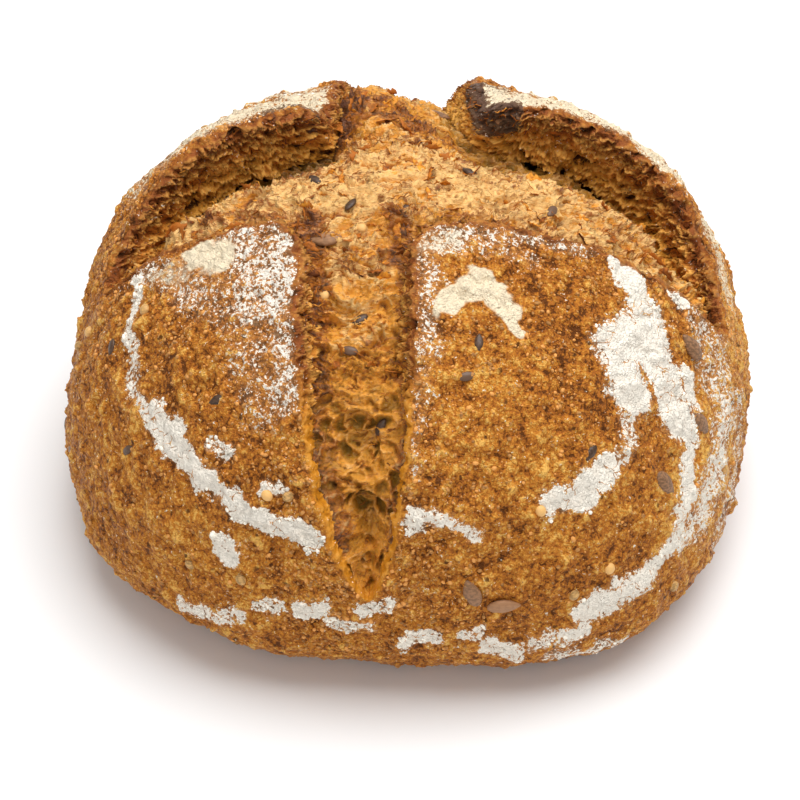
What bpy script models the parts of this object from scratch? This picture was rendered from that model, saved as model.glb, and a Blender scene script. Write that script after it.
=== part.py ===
"""A multigrain sourdough loaf: a round boule, scored with a cross and torn open along it in the oven.

Metres, +Z up. The origin is the middle of the flat underside, on the surface that the loaf stands on, and -Y is
the front. The loaf is one solid: a crust with a cross-shaped opening, the crumb that has swelled up in the
opening, and the seeds that stand out of both.

Places on the dome are given in a flat map of it. The crown is at (0, 0), a point's distance from there is its
angle down from the crown as seen from the middle of the loaf, in degrees, and its bearing is the same as in a
view from above, with +X to the right and +Y away from the front.
"""

import math

import bmesh
import bpy
import numpy as np
from mathutils import Matrix, Vector

# Outer form, as if the skin had never been cut
WIDTH = 0.200  # across the fullest part
HEIGHT = 0.114  # from the underside to the crown
FULLEST_Z = 0.028  # height of the fullest part
LOWER_REACH = 0.046  # how deep the lower curve would go if the underside didn't cut it off
ROUNDNESS = 2.15  # exponent of the super-ellipse: 2 is an ellipse, more is squarer
# Swellings and dents: share of the radius, then the middle's bearing, its angle from the crown and its spread
SWELLS = (
    (0.070, -50, 100, 26),
    (-0.070, -90, 98, 30),
    (-0.020, -90, 70, 30),
    (-0.015, -15, 95, 28),
    (0.015, -130, 98, 26),
    (0.030, 120, 45, 30),
    (0.025, 60, 45, 30),
    (0.020, 20, 70, 30),
    (-0.045, 127, 24, 10),
    (-0.050, 63, 21, 11),
    (-0.035, 108, 42, 9),
    (-0.020, 72, 43, 7),
    (0.012, 150, 65, 18),
    (-0.025, 178, 80, 13),
    (0.022, -152, 99, 12),
)

# The four arms of the opening, in degrees of the map: direction, reach from the crown, half width, how far its
# middle line lies to the +X or +Y side, how far its end bends to that side, and how long it keeps its width
ARMS = {
    "front": {"along": (0, -1), "reach": 81, "half": 10.8, "middle": -9.0, "bend": 0.5, "fullness": 5.0},
    "right": {"along": (1, 0), "reach": 65, "half": 15.5, "middle": 2.2, "bend": -13.5, "fullness": 4.5},
    "back": {"along": (0, 1), "reach": 76, "half": 14.4, "middle": -0.2, "bend": 0.5, "fullness": 7.0},
    "left": {"along": (-1, 0), "reach": 60, "half": 13.5, "middle": 2.2, "bend": -8.0, "fullness": 2.6},
}
END_ROUNDING = 0.7  # exponent of the arms' rounded ends
BEND_START = 4.5  # the end's bend grows with this power of the way along the arm
CROSSING = (-6.0, 2.0)  # where the arms meet
CORNER_BLEND = 2.5  # rounding of the corners between two arms
REAR_BLEND = 5.0  # and of the two rear ones, which are torn away more

# Lips: the edges of the crust along the opening
LIP_RISE = 0.0012  # the lips stand this much above the skin
LIP_EDGE = 0.0013  # the lips' edge is this thick
LIP_SPREAD = 0.007  # how far back from the edge that rise is felt
EAR_RISE = 0.0065  # the rear flaps lift this much more where they face the front
EAR_SPREAD = 0.026
EAR_START = (12.0, 20.0)  # the ears start to rise this many degrees to the side of the crown, and are full there
EAR_UNDERCUT = 0.0045  # how far the torn face leans back under the ear
TORN_SLOPE = 0.0030  # how far the torn face of the other lips comes forward
TORN_DEPTH = 0.020  # the torn face ends inside the crumb at this depth
END_STEP = 7.0  # the torn faces fade out where the opening is less than this many degrees across
PIT_DEPTH = 0.034  # depth below the crown at which the crust's torn faces are closed, inside the crumb

# Crumb
CRUMB_SINK = 0.0030  # the crumb lies this far under the skin
ARM_SINK = 0.0040  # and this much more in the front and back arms
EAR_SINK = 0.0100  # and this much more in the hollow under the ears
UNDER_SKIN = 0.0012  # and this much more where it goes under the crust
CRUMB_OVERLAP = 7.0  # the crumb's body reaches this many degrees under the crust
CRUMB_BODY = 0.50  # and inwards to this share of its distance from the middle of the loaf
SWELL_START = (-2.0, 3.0)  # the swellings fade out this many degrees inside the edge of the opening
# Where the crumb swells above that: place on the map, spread in degrees, height
CRUMB_SWELLS = (
    ((-11.0, 33.0), 10.0, 0.0105),
    ((-5.0, 2.0), 15.0, 0.0018),
    ((6.0, 40.0), 15.0, -0.0035),
)
# Large bubbles torn open in the crumb: place on the map, radius in metres, depth as a share of it
BUBBLES = (
    ((-9.5, -68.0), 0.0105, 0.60),
    ((-10.5, -53.0), 0.0095, 0.50),
    ((-9.0, -76.5), 0.0045, 0.60),
    ((-14.0, -31.0), 0.0070, 0.30),
    ((29.0, 14.0), 0.0075, 0.70),
    ((41.0, 8.0), 0.0085, 0.65),
    ((52.0, -1.0), 0.0080, 0.60),
    ((-26.0, 9.0), 0.0075, 0.60),
    ((-40.0, 4.0), 0.0070, 0.55),
    ((-50.0, -1.5), 0.0060, 0.55),
)

# Seeds: name, length, width and thickness, the places of the conspicuous ones, and how many more are scattered
SEEDS = (
    {
        "name": "sunflower",
        "size": (0.0095, 0.0052, 0.0026),
        "placed": ((-15, -14), (18, 23), (15, -78), (23, -80), (53, -49), (60, -34), (55, -22), (39, -24)),
        "scattered": 5,
    },
    {
        "name": "linseed",
        "size": (0.0052, 0.0027, 0.0014),
        "placed": ((0, -7), (-17, 1), (12, 3), (27, -5), (-9, -31), (-11, -37), (-5, -51), (13, -36), (11, -42)),
        "scattered": 20,
    },
    {
        "name": "millet",
        "size": (0.0034, 0.0030, 0.0024),
        "placed": ((-37, -72), (-49, -66), (-23, -60), (-27, -59), (44, -67), (38, -74), (-49, -18)),
        "scattered": 18,
    },
)
SEED_SUNK = 0.30  # share of its thickness by which a seed's middle lies under the surface
SEED_SIDES = 6
SEED_RINGS = 4
SEED_DRAW = 7  # seed of the random draws
SEED_GAP = 0.008  # least distance between two seeds
SEED_CLEARANCE = 4.0  # least distance of the scattered ones from the lips, in degrees

# Fineness of the mesh
RAYS = 7200  # sent out from where the arms meet, to find the opening's edge
HALVINGS = 24  # of the last degree of each ray
COLUMNS = 121  # round the loaf
SKIN_ROWS = 17  # from the lips to the fullest part
FULLEST_ANGLE = 98.0  # degrees from the crown, just under it
LOWER_ANGLES = (101.5, 105.0, 109.0, 114.0, 135.0)  # rings from there down and under the loaf
ROW_CROWDING = 1.15  # more than 1 crowds the rows towards the lips
SET_OUT = 11.0  # the mesh's columns leave the lips square to them, for about this many degrees
CRUMB_CELL = 2.3  # side of a cell of the crumb's grid, in degrees
CRUMB_REACH = 90.0  # half size of that grid

CRUST_COLOUR = (0.41, 0.19, 0.07, 1)
CRUMB_COLOUR = (0.66, 0.38, 0.13, 1)
SEED_COLOUR = (0.10, 0.06, 0.045, 1)

# The middle of the loaf, off the origin by what the swellings add to one side
CENTRE = np.array([-0.0004, -0.0035, FULLEST_Z])


def smoothstep(low, high, x):
    t = np.clip((x - low) / (high - low), 0.0, 1.0)
    return t * t * (3.0 - 2.0 * t)


def direction(bearing, angle):
    """Unit vector at a bearing and an angle from the crown."""
    bearing, angle = math.radians(bearing), math.radians(angle)
    return np.array([math.sin(angle) * math.cos(bearing), math.sin(angle) * math.sin(bearing), math.cos(angle)])


def directions(places):
    """Unit vectors, from the middle of the loaf, of places on the map."""
    angle = np.radians(np.hypot(places[:, 0], places[:, 1]))
    bearing = np.arctan2(places[:, 1], places[:, 0])
    across = np.sin(angle)
    return np.stack([across * np.cos(bearing), across * np.sin(bearing), np.cos(angle)], axis=1)


def skin_radius(unit):
    """Distance from the middle of the loaf to the uncut skin along each unit vector."""
    across = np.hypot(unit[:, 0], unit[:, 1]) / (WIDTH / 2)
    rise = np.where(unit[:, 2] > 0, HEIGHT - FULLEST_Z, LOWER_REACH)
    upward = np.abs(unit[:, 2]) / rise
    radius = (across**ROUNDNESS + upward**ROUNDNESS) ** (-1.0 / ROUNDNESS)
    swelling = np.ones(len(unit))
    for share, bearing, angle, spread in SWELLS:
        away = np.degrees(np.arccos(np.clip(unit @ direction(bearing, angle), -1.0, 1.0)))
        swelling += share * np.exp(-((away / spread) ** 2))
    return radius * swelling


def on_dome(places, sink=0.0):
    """Points of the skin at places on the map, sunk towards the middle, and cut off flat by the underside."""
    unit = directions(places)
    points = CENTRE + unit * (skin_radius(unit) - sink)[:, None]
    points[:, 2] = np.maximum(points[:, 2], 0.0)
    return points


def dome_normals(places):
    """Outward normals of the skin."""
    step = 0.4
    east = on_dome(places + [step, 0.0]) - on_dome(places - [step, 0.0])
    north = on_dome(places + [0.0, step]) - on_dome(places - [0.0, step])
    normal = np.cross(east, north)
    return normal / np.linalg.norm(normal, axis=1)[:, None]


def arm_bounds(arm, places):
    """How far along the arm each place is, and the arm's two sides there, all in degrees."""
    along = places @ np.array(arm["along"], float)
    share = np.clip(along / arm["reach"], 0.0, 1.0)
    half = arm["half"] * (1.0 - share ** arm["fullness"]) ** END_ROUNDING
    middle = arm["middle"] + arm["bend"] * share**BEND_START
    return along, middle - half, middle + half


def across_arm(arm, places):
    return places[:, 0] if arm["along"][0] == 0 else places[:, 1]


def opening(places):
    """Degrees from each place to the edge of the opening, positive inside it."""
    inside = []
    for arm in ARMS.values():
        along, low, high = arm_bounds(arm, places)
        across = across_arm(arm, places)
        depth = np.minimum(across - low, high - across)
        beyond = np.maximum(along - arm["reach"], 0.0) + np.maximum(-along, 0.0)
        inside.append(depth - beyond)
    stacked = np.stack(inside)
    top = stacked.max(axis=0)
    blend = CORNER_BLEND + (REAR_BLEND - CORNER_BLEND) * smoothstep(4.0, 12.0, places[:, 1])
    return top + blend * np.log(np.exp((stacked - top) / blend).sum(axis=0))


def crumb_sink(places):
    """Depth of the crumb under the uncut skin."""
    sink = np.full(len(places), CRUMB_SINK)
    for name in ("front", "back"):
        along, low, high = arm_bounds(ARMS[name], places)
        across = across_arm(ARMS[name], places)
        middle = (low + high) / 2
        nearness = smoothstep(1.6 * ARMS[name]["half"], 0.6 * ARMS[name]["half"], np.abs(across - middle))
        sink += ARM_SINK * nearness * smoothstep(8.0, 34.0, along)
    for name in ("left", "right"):
        along, low, high = arm_bounds(ARMS[name], places)
        across = across_arm(ARMS[name], places)
        to_back = (across - low) / np.maximum(high - low, 6.0)
        hollow = smoothstep(0.45, 1.0, to_back) * smoothstep(4.0, 20.0, along)
        sink += EAR_SINK * hollow * smoothstep(1.25, 0.85, along / ARMS[name]["reach"])
    clear = smoothstep(*SWELL_START, opening(places))
    for place, spread, height in CRUMB_SWELLS:
        sink -= height * clear * np.exp(-(np.hypot(*(places - place).T) / spread) ** 2)
    for place, radius, depth in BUBBLES:
        spread = np.hypot(*(places - place).T) * math.radians(1) * WIDTH / 2
        sink += radius * depth * np.sqrt(np.clip(1.0 - (spread / radius) ** 2, 0.0, 1.0))
    return sink + UNDER_SKIN * smoothstep(-1.0, -8.0, opening(places))


def outline():
    """Places of the opening's edge, evenly spaced, and the direction into the opening at each."""
    bearings = np.linspace(0.0, 2.0 * math.pi, RAYS, endpoint=False)
    rays = np.stack([np.cos(bearings), np.sin(bearings)], axis=1)
    near = np.zeros(len(rays))
    for distance in np.arange(1.0, 95.0):
        within = opening(CROSSING + rays * distance) > 0
        near = np.where(within, distance, near)
    far = near + 1.0
    for _ in range(HALVINGS):
        half = (near + far) / 2
        within = opening(CROSSING + rays * half[:, None]) > 0
        near, far = np.where(within, half, near), np.where(within, far, half)
    edge = CROSSING + rays * near[:, None]
    closed = np.vstack([edge, edge[:1]])
    length = np.concatenate([[0.0], np.cumsum(np.hypot(*np.diff(closed, axis=0).T))])
    stations = np.linspace(0.0, length[-1], COLUMNS, endpoint=False)
    places = np.stack([np.interp(stations, length, closed[:, i]) for i in (0, 1)], axis=1)
    tangent = np.roll(places, -1, axis=0) - np.roll(places, 1, axis=0)
    inward = np.stack([-tangent[:, 1], tangent[:, 0]], axis=1)
    return places, inward / np.linalg.norm(inward, axis=1)[:, None]


def room(places, inward):
    """1 where the opening is wide in front of its edge, falling to nearly 0 at the narrow ends of the arms."""
    return np.clip(opening(places + inward * END_STEP) / (0.8 * END_STEP), 0.05, 1.0)


def ear_share(places, inward):
    """1 on the edges that face the front, where the rear flaps stand up, and 0 on the others."""
    facing = smoothstep(0.15, 0.75, -inward[:, 1])
    rear = smoothstep(-12.0, 2.0, places[:, 1])
    reach = np.where(places[:, 0] > 0, ARMS["right"]["reach"], ARMS["left"]["reach"])
    side = np.abs(places[:, 0])
    return facing * rear * smoothstep(*EAR_START, side) * smoothstep(1.02, 0.6, side / reach)


def lip_lift(distance, ear):
    """How far the crust stands above the skin at a distance from the opening's edge."""
    rim = LIP_RISE * np.exp(-((distance / LIP_SPREAD) ** 2))
    return rim + EAR_RISE * ear * np.exp(-((distance / EAR_SPREAD) ** 2))


def crust_rings():
    """The crust as rings of points from the bottom of the torn faces, over the lips and down to the underside."""
    edge, inward = outline()
    ear = ear_share(edge, inward)
    normal = dome_normals(edge)
    lip = on_dome(edge) + normal * lip_lift(np.zeros(len(edge)), ear)[:, None]
    into = on_dome(edge + inward) - on_dome(edge - inward)
    into /= np.linalg.norm(into, axis=1)[:, None]
    space = room(edge, inward)[:, None]
    lean = (TORN_SLOPE * (1 - ear) - EAR_UNDERCUT * ear)[:, None] * space
    depth = TORN_DEPTH * (0.8 + 0.2 * space)
    rings = [
        lip + into * lean - normal * depth,
        lip + into * lean * 0.8 - normal * depth * 0.45,
        lip + (into * space - normal) * LIP_EDGE,
    ]
    bearing = np.arctan2(edge[0, 1], edge[0, 0])
    turn = bearing + np.linspace(0.0, 2.0 * math.pi, COLUMNS, endpoint=False)
    spokes = np.stack([np.cos(turn), np.sin(turn)], axis=1)
    rim = FULLEST_ANGLE * spokes
    start = on_dome(edge)
    for row in range(SKIN_ROWS):
        share = (row / (SKIN_ROWS - 1)) ** ROW_CROWDING
        square = edge - inward * SET_OUT
        places = edge * (1 - share) ** 2 + square * 2 * share * (1 - share) + rim * share**2
        points = on_dome(places)
        distance = np.linalg.norm(points - start, axis=1)
        rings.append(points + dome_normals(places) * lip_lift(distance, ear)[:, None])
    for angle in LOWER_ANGLES:
        rings.append(on_dome(spokes * angle))
    return rings


def sphere_from_rings(bm, rings, top, bottom):
    """Shapes a UV sphere so that its rings run through the given ones, from pole to pole."""
    made = bmesh.ops.create_uvsphere(bm, u_segments=len(rings[0]), v_segments=len(rings) + 1, radius=1.0)
    for vert in made["verts"]:
        across = math.hypot(vert.co.x, vert.co.y)
        if across < 1e-5:
            vert.co = top if vert.co.z > 0 else bottom
            continue
        ring = round(math.acos(max(-1.0, min(1.0, vert.co.z))) / math.pi * (len(rings) + 1)) - 1
        column = round(math.atan2(vert.co.y, vert.co.x) / (2 * math.pi) * len(rings[0])) % len(rings[0])
        vert.co = rings[ring][column]


def finished(name, bm, material, collection):
    """An object made of the bmesh, with its faces pointing outwards."""
    bmesh.ops.recalc_face_normals(bm, faces=bm.faces)
    mesh = bpy.data.meshes.new(name)
    bm.to_mesh(mesh)
    bm.free()
    mesh.materials.append(material)
    mesh.shade_smooth()
    thing = bpy.data.objects.new(name, mesh)
    collection.objects.link(thing)
    return thing


def make_crust(material, collection):
    bm = bmesh.new()
    top = CENTRE + [0.0, 0.0, HEIGHT - FULLEST_Z - PIT_DEPTH]
    sphere_from_rings(bm, crust_rings(), top, (0.0, 0.0, 0.0))
    return finished("crust", bm, material, collection)


def make_crumb(material, collection):
    """The crumb's dome: a grid laid over the opening, bent to shape and extruded down into the crust."""
    bm = bmesh.new()
    cells = round(2 * CRUMB_REACH / CRUMB_CELL)
    bmesh.ops.create_grid(bm, x_segments=cells, y_segments=cells, size=CRUMB_REACH)
    places = np.array([(v.co.x, v.co.y) for v in bm.verts])
    spare = {v for v, margin in zip(bm.verts, opening(places)) if margin < -CRUMB_OVERLAP}
    bmesh.ops.delete(bm, geom=[f for f in bm.faces if spare & set(f.verts)], context="FACES")
    pinched = [v for v in bm.verts if sum(e.is_boundary for e in v.link_edges) > 2]
    bmesh.ops.delete(bm, geom=pinched, context="VERTS")
    places = np.array([(v.co.x, v.co.y) for v in bm.verts])
    for vert, point in zip(bm.verts, on_dome(places, crumb_sink(places))):
        vert.co = point
    grown = bmesh.ops.extrude_face_region(bm, geom=bm.faces[:])
    for vert in (g for g in grown["geom"] if isinstance(g, bmesh.types.BMVert)):
        vert.co = Vector(CENTRE).lerp(vert.co, CRUMB_BODY)
    return finished("crumb", bm, material, collection)


def seed_places():
    """Kind and place on the map of every seed: the given places, and the rest by a seeded random draw."""
    draw = np.random.default_rng(SEED_DRAW)
    taken = []
    for kind in SEEDS:
        wanted = len(kind["placed"]) + kind["scattered"]
        mine = [(kind, np.array([place], float)) for place in kind["placed"]]
        while len(mine) < wanted:
            angle = math.degrees(math.acos(draw.uniform(-0.05, 1.0)))
            bearing = draw.uniform(0.0, 2.0 * math.pi)
            place = np.array([[angle * math.cos(bearing), angle * math.sin(bearing)]])
            point = on_dome(place)
            clear = all(np.linalg.norm(point - on_dome(other)) > SEED_GAP for _, other in taken + mine)
            if clear and abs(opening(place)[0]) > SEED_CLEARANCE:
                mine.append((kind, place))
        taken += mine
    return taken


def make_seeds(material, collection):
    draw = np.random.default_rng(SEED_DRAW)
    for kind, place in seed_places():
        bm = bmesh.new()
        bmesh.ops.create_uvsphere(bm, u_segments=SEED_SIDES, v_segments=SEED_RINGS, radius=0.5)
        sink = crumb_sink(place) if opening(place)[0] > 0 else 0.0
        normal = Vector(dome_normals(place)[0])
        point = Vector(on_dome(place, sink)[0]) - normal * kind["size"][2] * SEED_SUNK
        turn = Matrix.Rotation(draw.uniform(0.0, 2.0 * math.pi), 4, "Z")
        lie = normal.to_track_quat("Z", "Y").to_matrix().to_4x4() @ turn
        bmesh.ops.scale(bm, vec=kind["size"], verts=bm.verts)
        bmesh.ops.transform(bm, matrix=Matrix.Translation(point) @ lie, verts=bm.verts)
        finished(kind["name"], bm, material, collection)


def make_material(name, colour, roughness):
    material = bpy.data.materials.new(name)
    material.use_nodes = True
    shader = material.node_tree.nodes["Principled BSDF"]
    shader.inputs["Base Color"].default_value = colour
    shader.inputs["Roughness"].default_value = roughness
    shader.inputs["Metallic"].default_value = 0.0
    return material


def without_pockets(bm):
    """Fills the small pockets that are sealed off where crumb and crust meet: only the largest shell is kept."""
    shells = []
    left = set(bm.verts)
    while left:
        shell, front = set(), {left.pop()}
        while front:
            shell |= front
            front = {e.other_vert(v) for v in front for e in v.link_edges} - shell
        left -= shell
        shells.append(shell)
    shells.sort(key=len)
    for shell in shells[:-1]:
        bmesh.ops.delete(bm, geom=list(shell), context="VERTS")


def bake_together(base, others):
    """Joins the others to the base with one Boolean, applies it and removes them."""
    join = base.modifiers.new("baked_together", "BOOLEAN")
    join.operation = "UNION"
    join.operand_type = "COLLECTION"
    join.collection = others
    join.solver = "EXACT"
    join.material_mode = "TRANSFER"
    graph = bpy.context.evaluated_depsgraph_get()
    joined = bpy.data.meshes.new_from_object(base.evaluated_get(graph))
    base.modifiers.clear()
    bm = bmesh.new()
    bm.from_mesh(joined)
    without_pockets(bm)
    bmesh.ops.triangulate(bm, faces=bm.faces)
    bm.to_mesh(joined)
    bm.free()
    base.data = joined
    for thing in list(others.objects):
        bpy.data.objects.remove(thing)
    bpy.data.collections.remove(others)


def main():
    for thing in list(bpy.data.objects):
        bpy.data.objects.remove(thing)
    scene = bpy.context.scene.collection
    added = bpy.data.collections.new("added")
    scene.children.link(added)
    loaf = make_crust(make_material("crust", CRUST_COLOUR, 0.75), scene)
    make_crumb(make_material("crumb", CRUMB_COLOUR, 0.70), added)
    make_seeds(make_material("seeds", SEED_COLOUR, 0.45), added)
    bake_together(loaf, added)
    loaf.name = "loaf"
    loaf.data.name = "loaf"


if __name__ == "__main__":
    main()
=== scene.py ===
"""A multigrain sourdough loaf: its crust, crumb, seeds, grit and flour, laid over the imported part.

Metres, +Z up, -Y is the front. Places on the dome are given in a flat map of it, in degrees: the crown is at
(0, 0), a place's distance from there is its angle down from the crown, seen from the middle of the loaf, and
its bearing is the same as in a view from above.
"""

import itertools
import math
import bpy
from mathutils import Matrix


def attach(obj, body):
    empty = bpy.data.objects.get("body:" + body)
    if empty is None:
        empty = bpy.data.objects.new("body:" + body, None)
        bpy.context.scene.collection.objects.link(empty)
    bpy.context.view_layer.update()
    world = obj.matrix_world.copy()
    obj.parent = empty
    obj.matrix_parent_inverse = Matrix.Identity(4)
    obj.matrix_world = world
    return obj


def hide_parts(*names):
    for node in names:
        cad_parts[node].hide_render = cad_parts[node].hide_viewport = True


bl_info = {
    "name": "Multigrain sourdough loaf",
    "version": (1, 0, 0),
    "blender": (4, 5, 0),
    "location": "3D View > Sidebar > Loaf",
    "description": "Dresses a round loaf scored with a cross in crust, torn crumb, seeds, grit and flour",
    "category": "Object",
}

import bmesh
import bpy
import numpy as np
from bpy.props import FloatProperty, FloatVectorProperty, IntProperty, PointerProperty
from mathutils import Matrix, Vector

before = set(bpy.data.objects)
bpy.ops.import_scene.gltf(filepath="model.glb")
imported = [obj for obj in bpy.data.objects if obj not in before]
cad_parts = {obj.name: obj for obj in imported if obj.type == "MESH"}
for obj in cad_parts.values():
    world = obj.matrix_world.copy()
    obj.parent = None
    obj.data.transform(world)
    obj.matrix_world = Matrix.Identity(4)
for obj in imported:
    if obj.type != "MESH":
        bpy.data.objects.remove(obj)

NODE = "loaf"
BODY = "root"

# ---- The loaf's form, as in the part ----

WIDTH = 0.200
HEIGHT = 0.114
FULLEST_Z = 0.028
LOWER_REACH = 0.046
ROUNDNESS = 2.15
SWELLS = (
    (0.070, -50, 100, 26),
    (-0.070, -90, 98, 30),
    (-0.020, -90, 70, 30),
    (-0.015, -15, 95, 28),
    (0.015, -130, 98, 26),
    (0.030, 120, 45, 30),
    (0.025, 60, 45, 30),
    (0.020, 20, 70, 30),
    (-0.045, 127, 24, 10),
    (-0.050, 63, 21, 11),
    (-0.035, 108, 42, 9),
    (-0.020, 72, 43, 7),
    (0.012, 150, 65, 18),
    (-0.025, 178, 80, 13),
    (0.022, -152, 99, 12),
)
ARMS = {
    "front": {"along": (0, -1), "reach": 81, "half": 10.8, "middle": -9.0, "bend": 0.5, "fullness": 5.0},
    "right": {"along": (1, 0), "reach": 65, "half": 15.5, "middle": 2.2, "bend": -13.5, "fullness": 4.5},
    "back": {"along": (0, 1), "reach": 76, "half": 14.4, "middle": -0.2, "bend": 0.5, "fullness": 7.0},
    "left": {"along": (-1, 0), "reach": 60, "half": 13.5, "middle": 2.2, "bend": -8.0, "fullness": 2.6},
}
END_ROUNDING = 0.7
BEND_START = 4.5
CROSSING = (-6.0, 2.0)
CORNER_BLEND = 2.5
REAR_BLEND = 5.0
LIP_RISE = 0.0012
LIP_EDGE = 0.0013
LIP_SPREAD = 0.007
EAR_RISE = 0.0065
EAR_SPREAD = 0.026
EAR_START = (12.0, 20.0)
EAR_UNDERCUT = 0.0045
TORN_SLOPE = 0.0030
TORN_DEPTH = 0.020
END_STEP = 7.0
CRUMB_SINK = 0.0030
ARM_SINK = 0.0040
EAR_SINK = 0.0100
UNDER_SKIN = 0.0012
SWELL_START = (-2.0, 3.0)
CRUMB_SWELLS = (
    ((-11.0, 33.0), 10.0, 0.0105),
    ((-5.0, 2.0), 15.0, 0.0018),
    ((6.0, 40.0), 15.0, -0.0035),
)
BUBBLES = (
    ((-9.5, -68.0), 0.0105, 0.60),
    ((-10.5, -53.0), 0.0095, 0.50),
    ((-9.0, -76.5), 0.0045, 0.60),
    ((-14.0, -31.0), 0.0070, 0.30),
    ((29.0, 14.0), 0.0075, 0.70),
    ((41.0, 8.0), 0.0085, 0.65),
    ((52.0, -1.0), 0.0080, 0.60),
    ((-26.0, 9.0), 0.0075, 0.60),
    ((-40.0, 4.0), 0.0070, 0.55),
    ((-50.0, -1.5), 0.0060, 0.55),
)
FULLEST_ANGLE = 98.0
UNDERSIDE_ANGLES = (101.5, 105.0, 107.5, 109.0, 111.0, 114.0, 121.0, 132.0, 150.0, 179.9)
RAYS = 14400
HALVINGS = 22
CENTRE = np.array([-0.0004, -0.0035, FULLEST_Z])
DEGREE = math.radians(1) * WIDTH / 2  # a degree of the map, on the dome


def smoothstep(low, high, x):
    t = np.clip((x - low) / (high - low), 0.0, 1.0)
    return t * t * (3.0 - 2.0 * t)


def direction(bearing, angle):
    """Unit vector at a bearing and an angle from the crown."""
    bearing, angle = math.radians(bearing), math.radians(angle)
    across = math.sin(angle)
    return np.array([across * math.cos(bearing), across * math.sin(bearing), math.cos(angle)])


def directions(places):
    """Unit vectors, from the middle of the loaf, of places on the map."""
    angle = np.radians(np.hypot(places[:, 0], places[:, 1]))
    bearing = np.arctan2(places[:, 1], places[:, 0])
    across = np.sin(angle)
    return np.stack([across * np.cos(bearing), across * np.sin(bearing), np.cos(angle)], axis=1)


def skin_radius(unit):
    """Distance from the middle of the loaf to the uncut skin along each unit vector."""
    across = np.hypot(unit[:, 0], unit[:, 1]) / (WIDTH / 2)
    rise = np.where(unit[:, 2] > 0, HEIGHT - FULLEST_Z, LOWER_REACH)
    upward = np.abs(unit[:, 2]) / rise
    radius = (across**ROUNDNESS + upward**ROUNDNESS) ** (-1.0 / ROUNDNESS)
    swelling = np.ones(len(unit))
    for share, bearing, angle, spread in SWELLS:
        away = np.degrees(np.arccos(np.clip(unit @ direction(bearing, angle), -1.0, 1.0)))
        swelling += share * np.exp(-((away / spread) ** 2))
    return radius * swelling


def on_dome(places, sink=0.0):
    """Points of the skin at places on the map, sunk towards the middle, and cut off flat by the underside."""
    unit = directions(places)
    points = CENTRE + unit * (skin_radius(unit) - sink)[:, None]
    points[:, 2] = np.maximum(points[:, 2], 0.0)
    return points


def dome_normals(places):
    """Outward normals of the skin."""
    step = 0.4
    east = on_dome(places + [step, 0.0]) - on_dome(places - [step, 0.0])
    north = on_dome(places + [0.0, step]) - on_dome(places - [0.0, step])
    normal = np.cross(east, north)
    return normal / np.maximum(np.linalg.norm(normal, axis=1), 1e-12)[:, None]


def arm_bounds(arm, places):
    """How far along the arm each place is, and the arm's two sides there, all in degrees."""
    along = places @ np.array(arm["along"], float)
    share = np.clip(along / arm["reach"], 0.0, 1.0)
    half = arm["half"] * (1.0 - share ** arm["fullness"]) ** END_ROUNDING
    middle = arm["middle"] + arm["bend"] * share**BEND_START
    return along, middle - half, middle + half


def across_arm(arm, places):
    return places[:, 0] if arm["along"][0] == 0 else places[:, 1]


def opening(places):
    """Degrees from each place to the edge of the opening, positive inside it."""
    inside = []
    for arm in ARMS.values():
        along, low, high = arm_bounds(arm, places)
        across = across_arm(arm, places)
        depth = np.minimum(across - low, high - across)
        beyond = np.maximum(along - arm["reach"], 0.0) + np.maximum(-along, 0.0)
        inside.append(depth - beyond)
    stacked = np.stack(inside)
    top = stacked.max(axis=0)
    blend = CORNER_BLEND + (REAR_BLEND - CORNER_BLEND) * smoothstep(4.0, 12.0, places[:, 1])
    return top + blend * np.log(np.exp((stacked - top) / blend).sum(axis=0))


def crumb_sink(places):
    """Depth of the crumb under the uncut skin, before its own relief."""
    sink = np.full(len(places), CRUMB_SINK)
    for name in ("front", "back"):
        along, low, high = arm_bounds(ARMS[name], places)
        across = across_arm(ARMS[name], places)
        middle = (low + high) / 2
        nearness = smoothstep(1.6 * ARMS[name]["half"], 0.6 * ARMS[name]["half"], np.abs(across - middle))
        sink += ARM_SINK * nearness * smoothstep(8.0, 34.0, along)
    for name in ("left", "right"):
        along, low, high = arm_bounds(ARMS[name], places)
        across = across_arm(ARMS[name], places)
        to_back = (across - low) / np.maximum(high - low, 6.0)
        hollow = smoothstep(0.45, 1.0, to_back) * smoothstep(4.0, 20.0, along)
        sink += EAR_SINK * hollow * smoothstep(1.25, 0.85, along / ARMS[name]["reach"])
    clear = smoothstep(*SWELL_START, opening(places))
    for place, spread, height in CRUMB_SWELLS:
        sink -= height * clear * np.exp(-(np.hypot(*(places - place).T) / spread) ** 2)
    for place, radius, depth in BUBBLES:
        spread = np.hypot(*(places - place).T) * DEGREE
        sink += radius * depth * np.sqrt(np.clip(1.0 - (spread / radius) ** 2, 0.0, 1.0))
    return sink + UNDER_SKIN * smoothstep(-1.0, -8.0, opening(places))


def room(places, inward):
    """1 where the opening is wide in front of its edge, falling to nearly 0 at the ends of the arms."""
    return np.clip(opening(places + inward * END_STEP) / (0.8 * END_STEP), 0.05, 1.0)


def ear_share(places, inward):
    """1 on the edges that face the front, where the rear flaps stand up, and 0 on the others."""
    facing = smoothstep(0.15, 0.75, -inward[:, 1])
    rear = smoothstep(-12.0, 2.0, places[:, 1])
    reach = np.where(places[:, 0] > 0, ARMS["right"]["reach"], ARMS["left"]["reach"])
    side = np.abs(places[:, 0])
    return facing * rear * smoothstep(*EAR_START, side) * smoothstep(1.02, 0.6, side / reach)


def lip_lift(distance, ear):
    """How far the crust stands above the skin at a distance from the opening's edge."""
    rim = LIP_RISE * np.exp(-((distance / LIP_SPREAD) ** 2))
    return rim + EAR_RISE * ear * np.exp(-((distance / EAR_SPREAD) ** 2))


# ---- Settings ----


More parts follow.
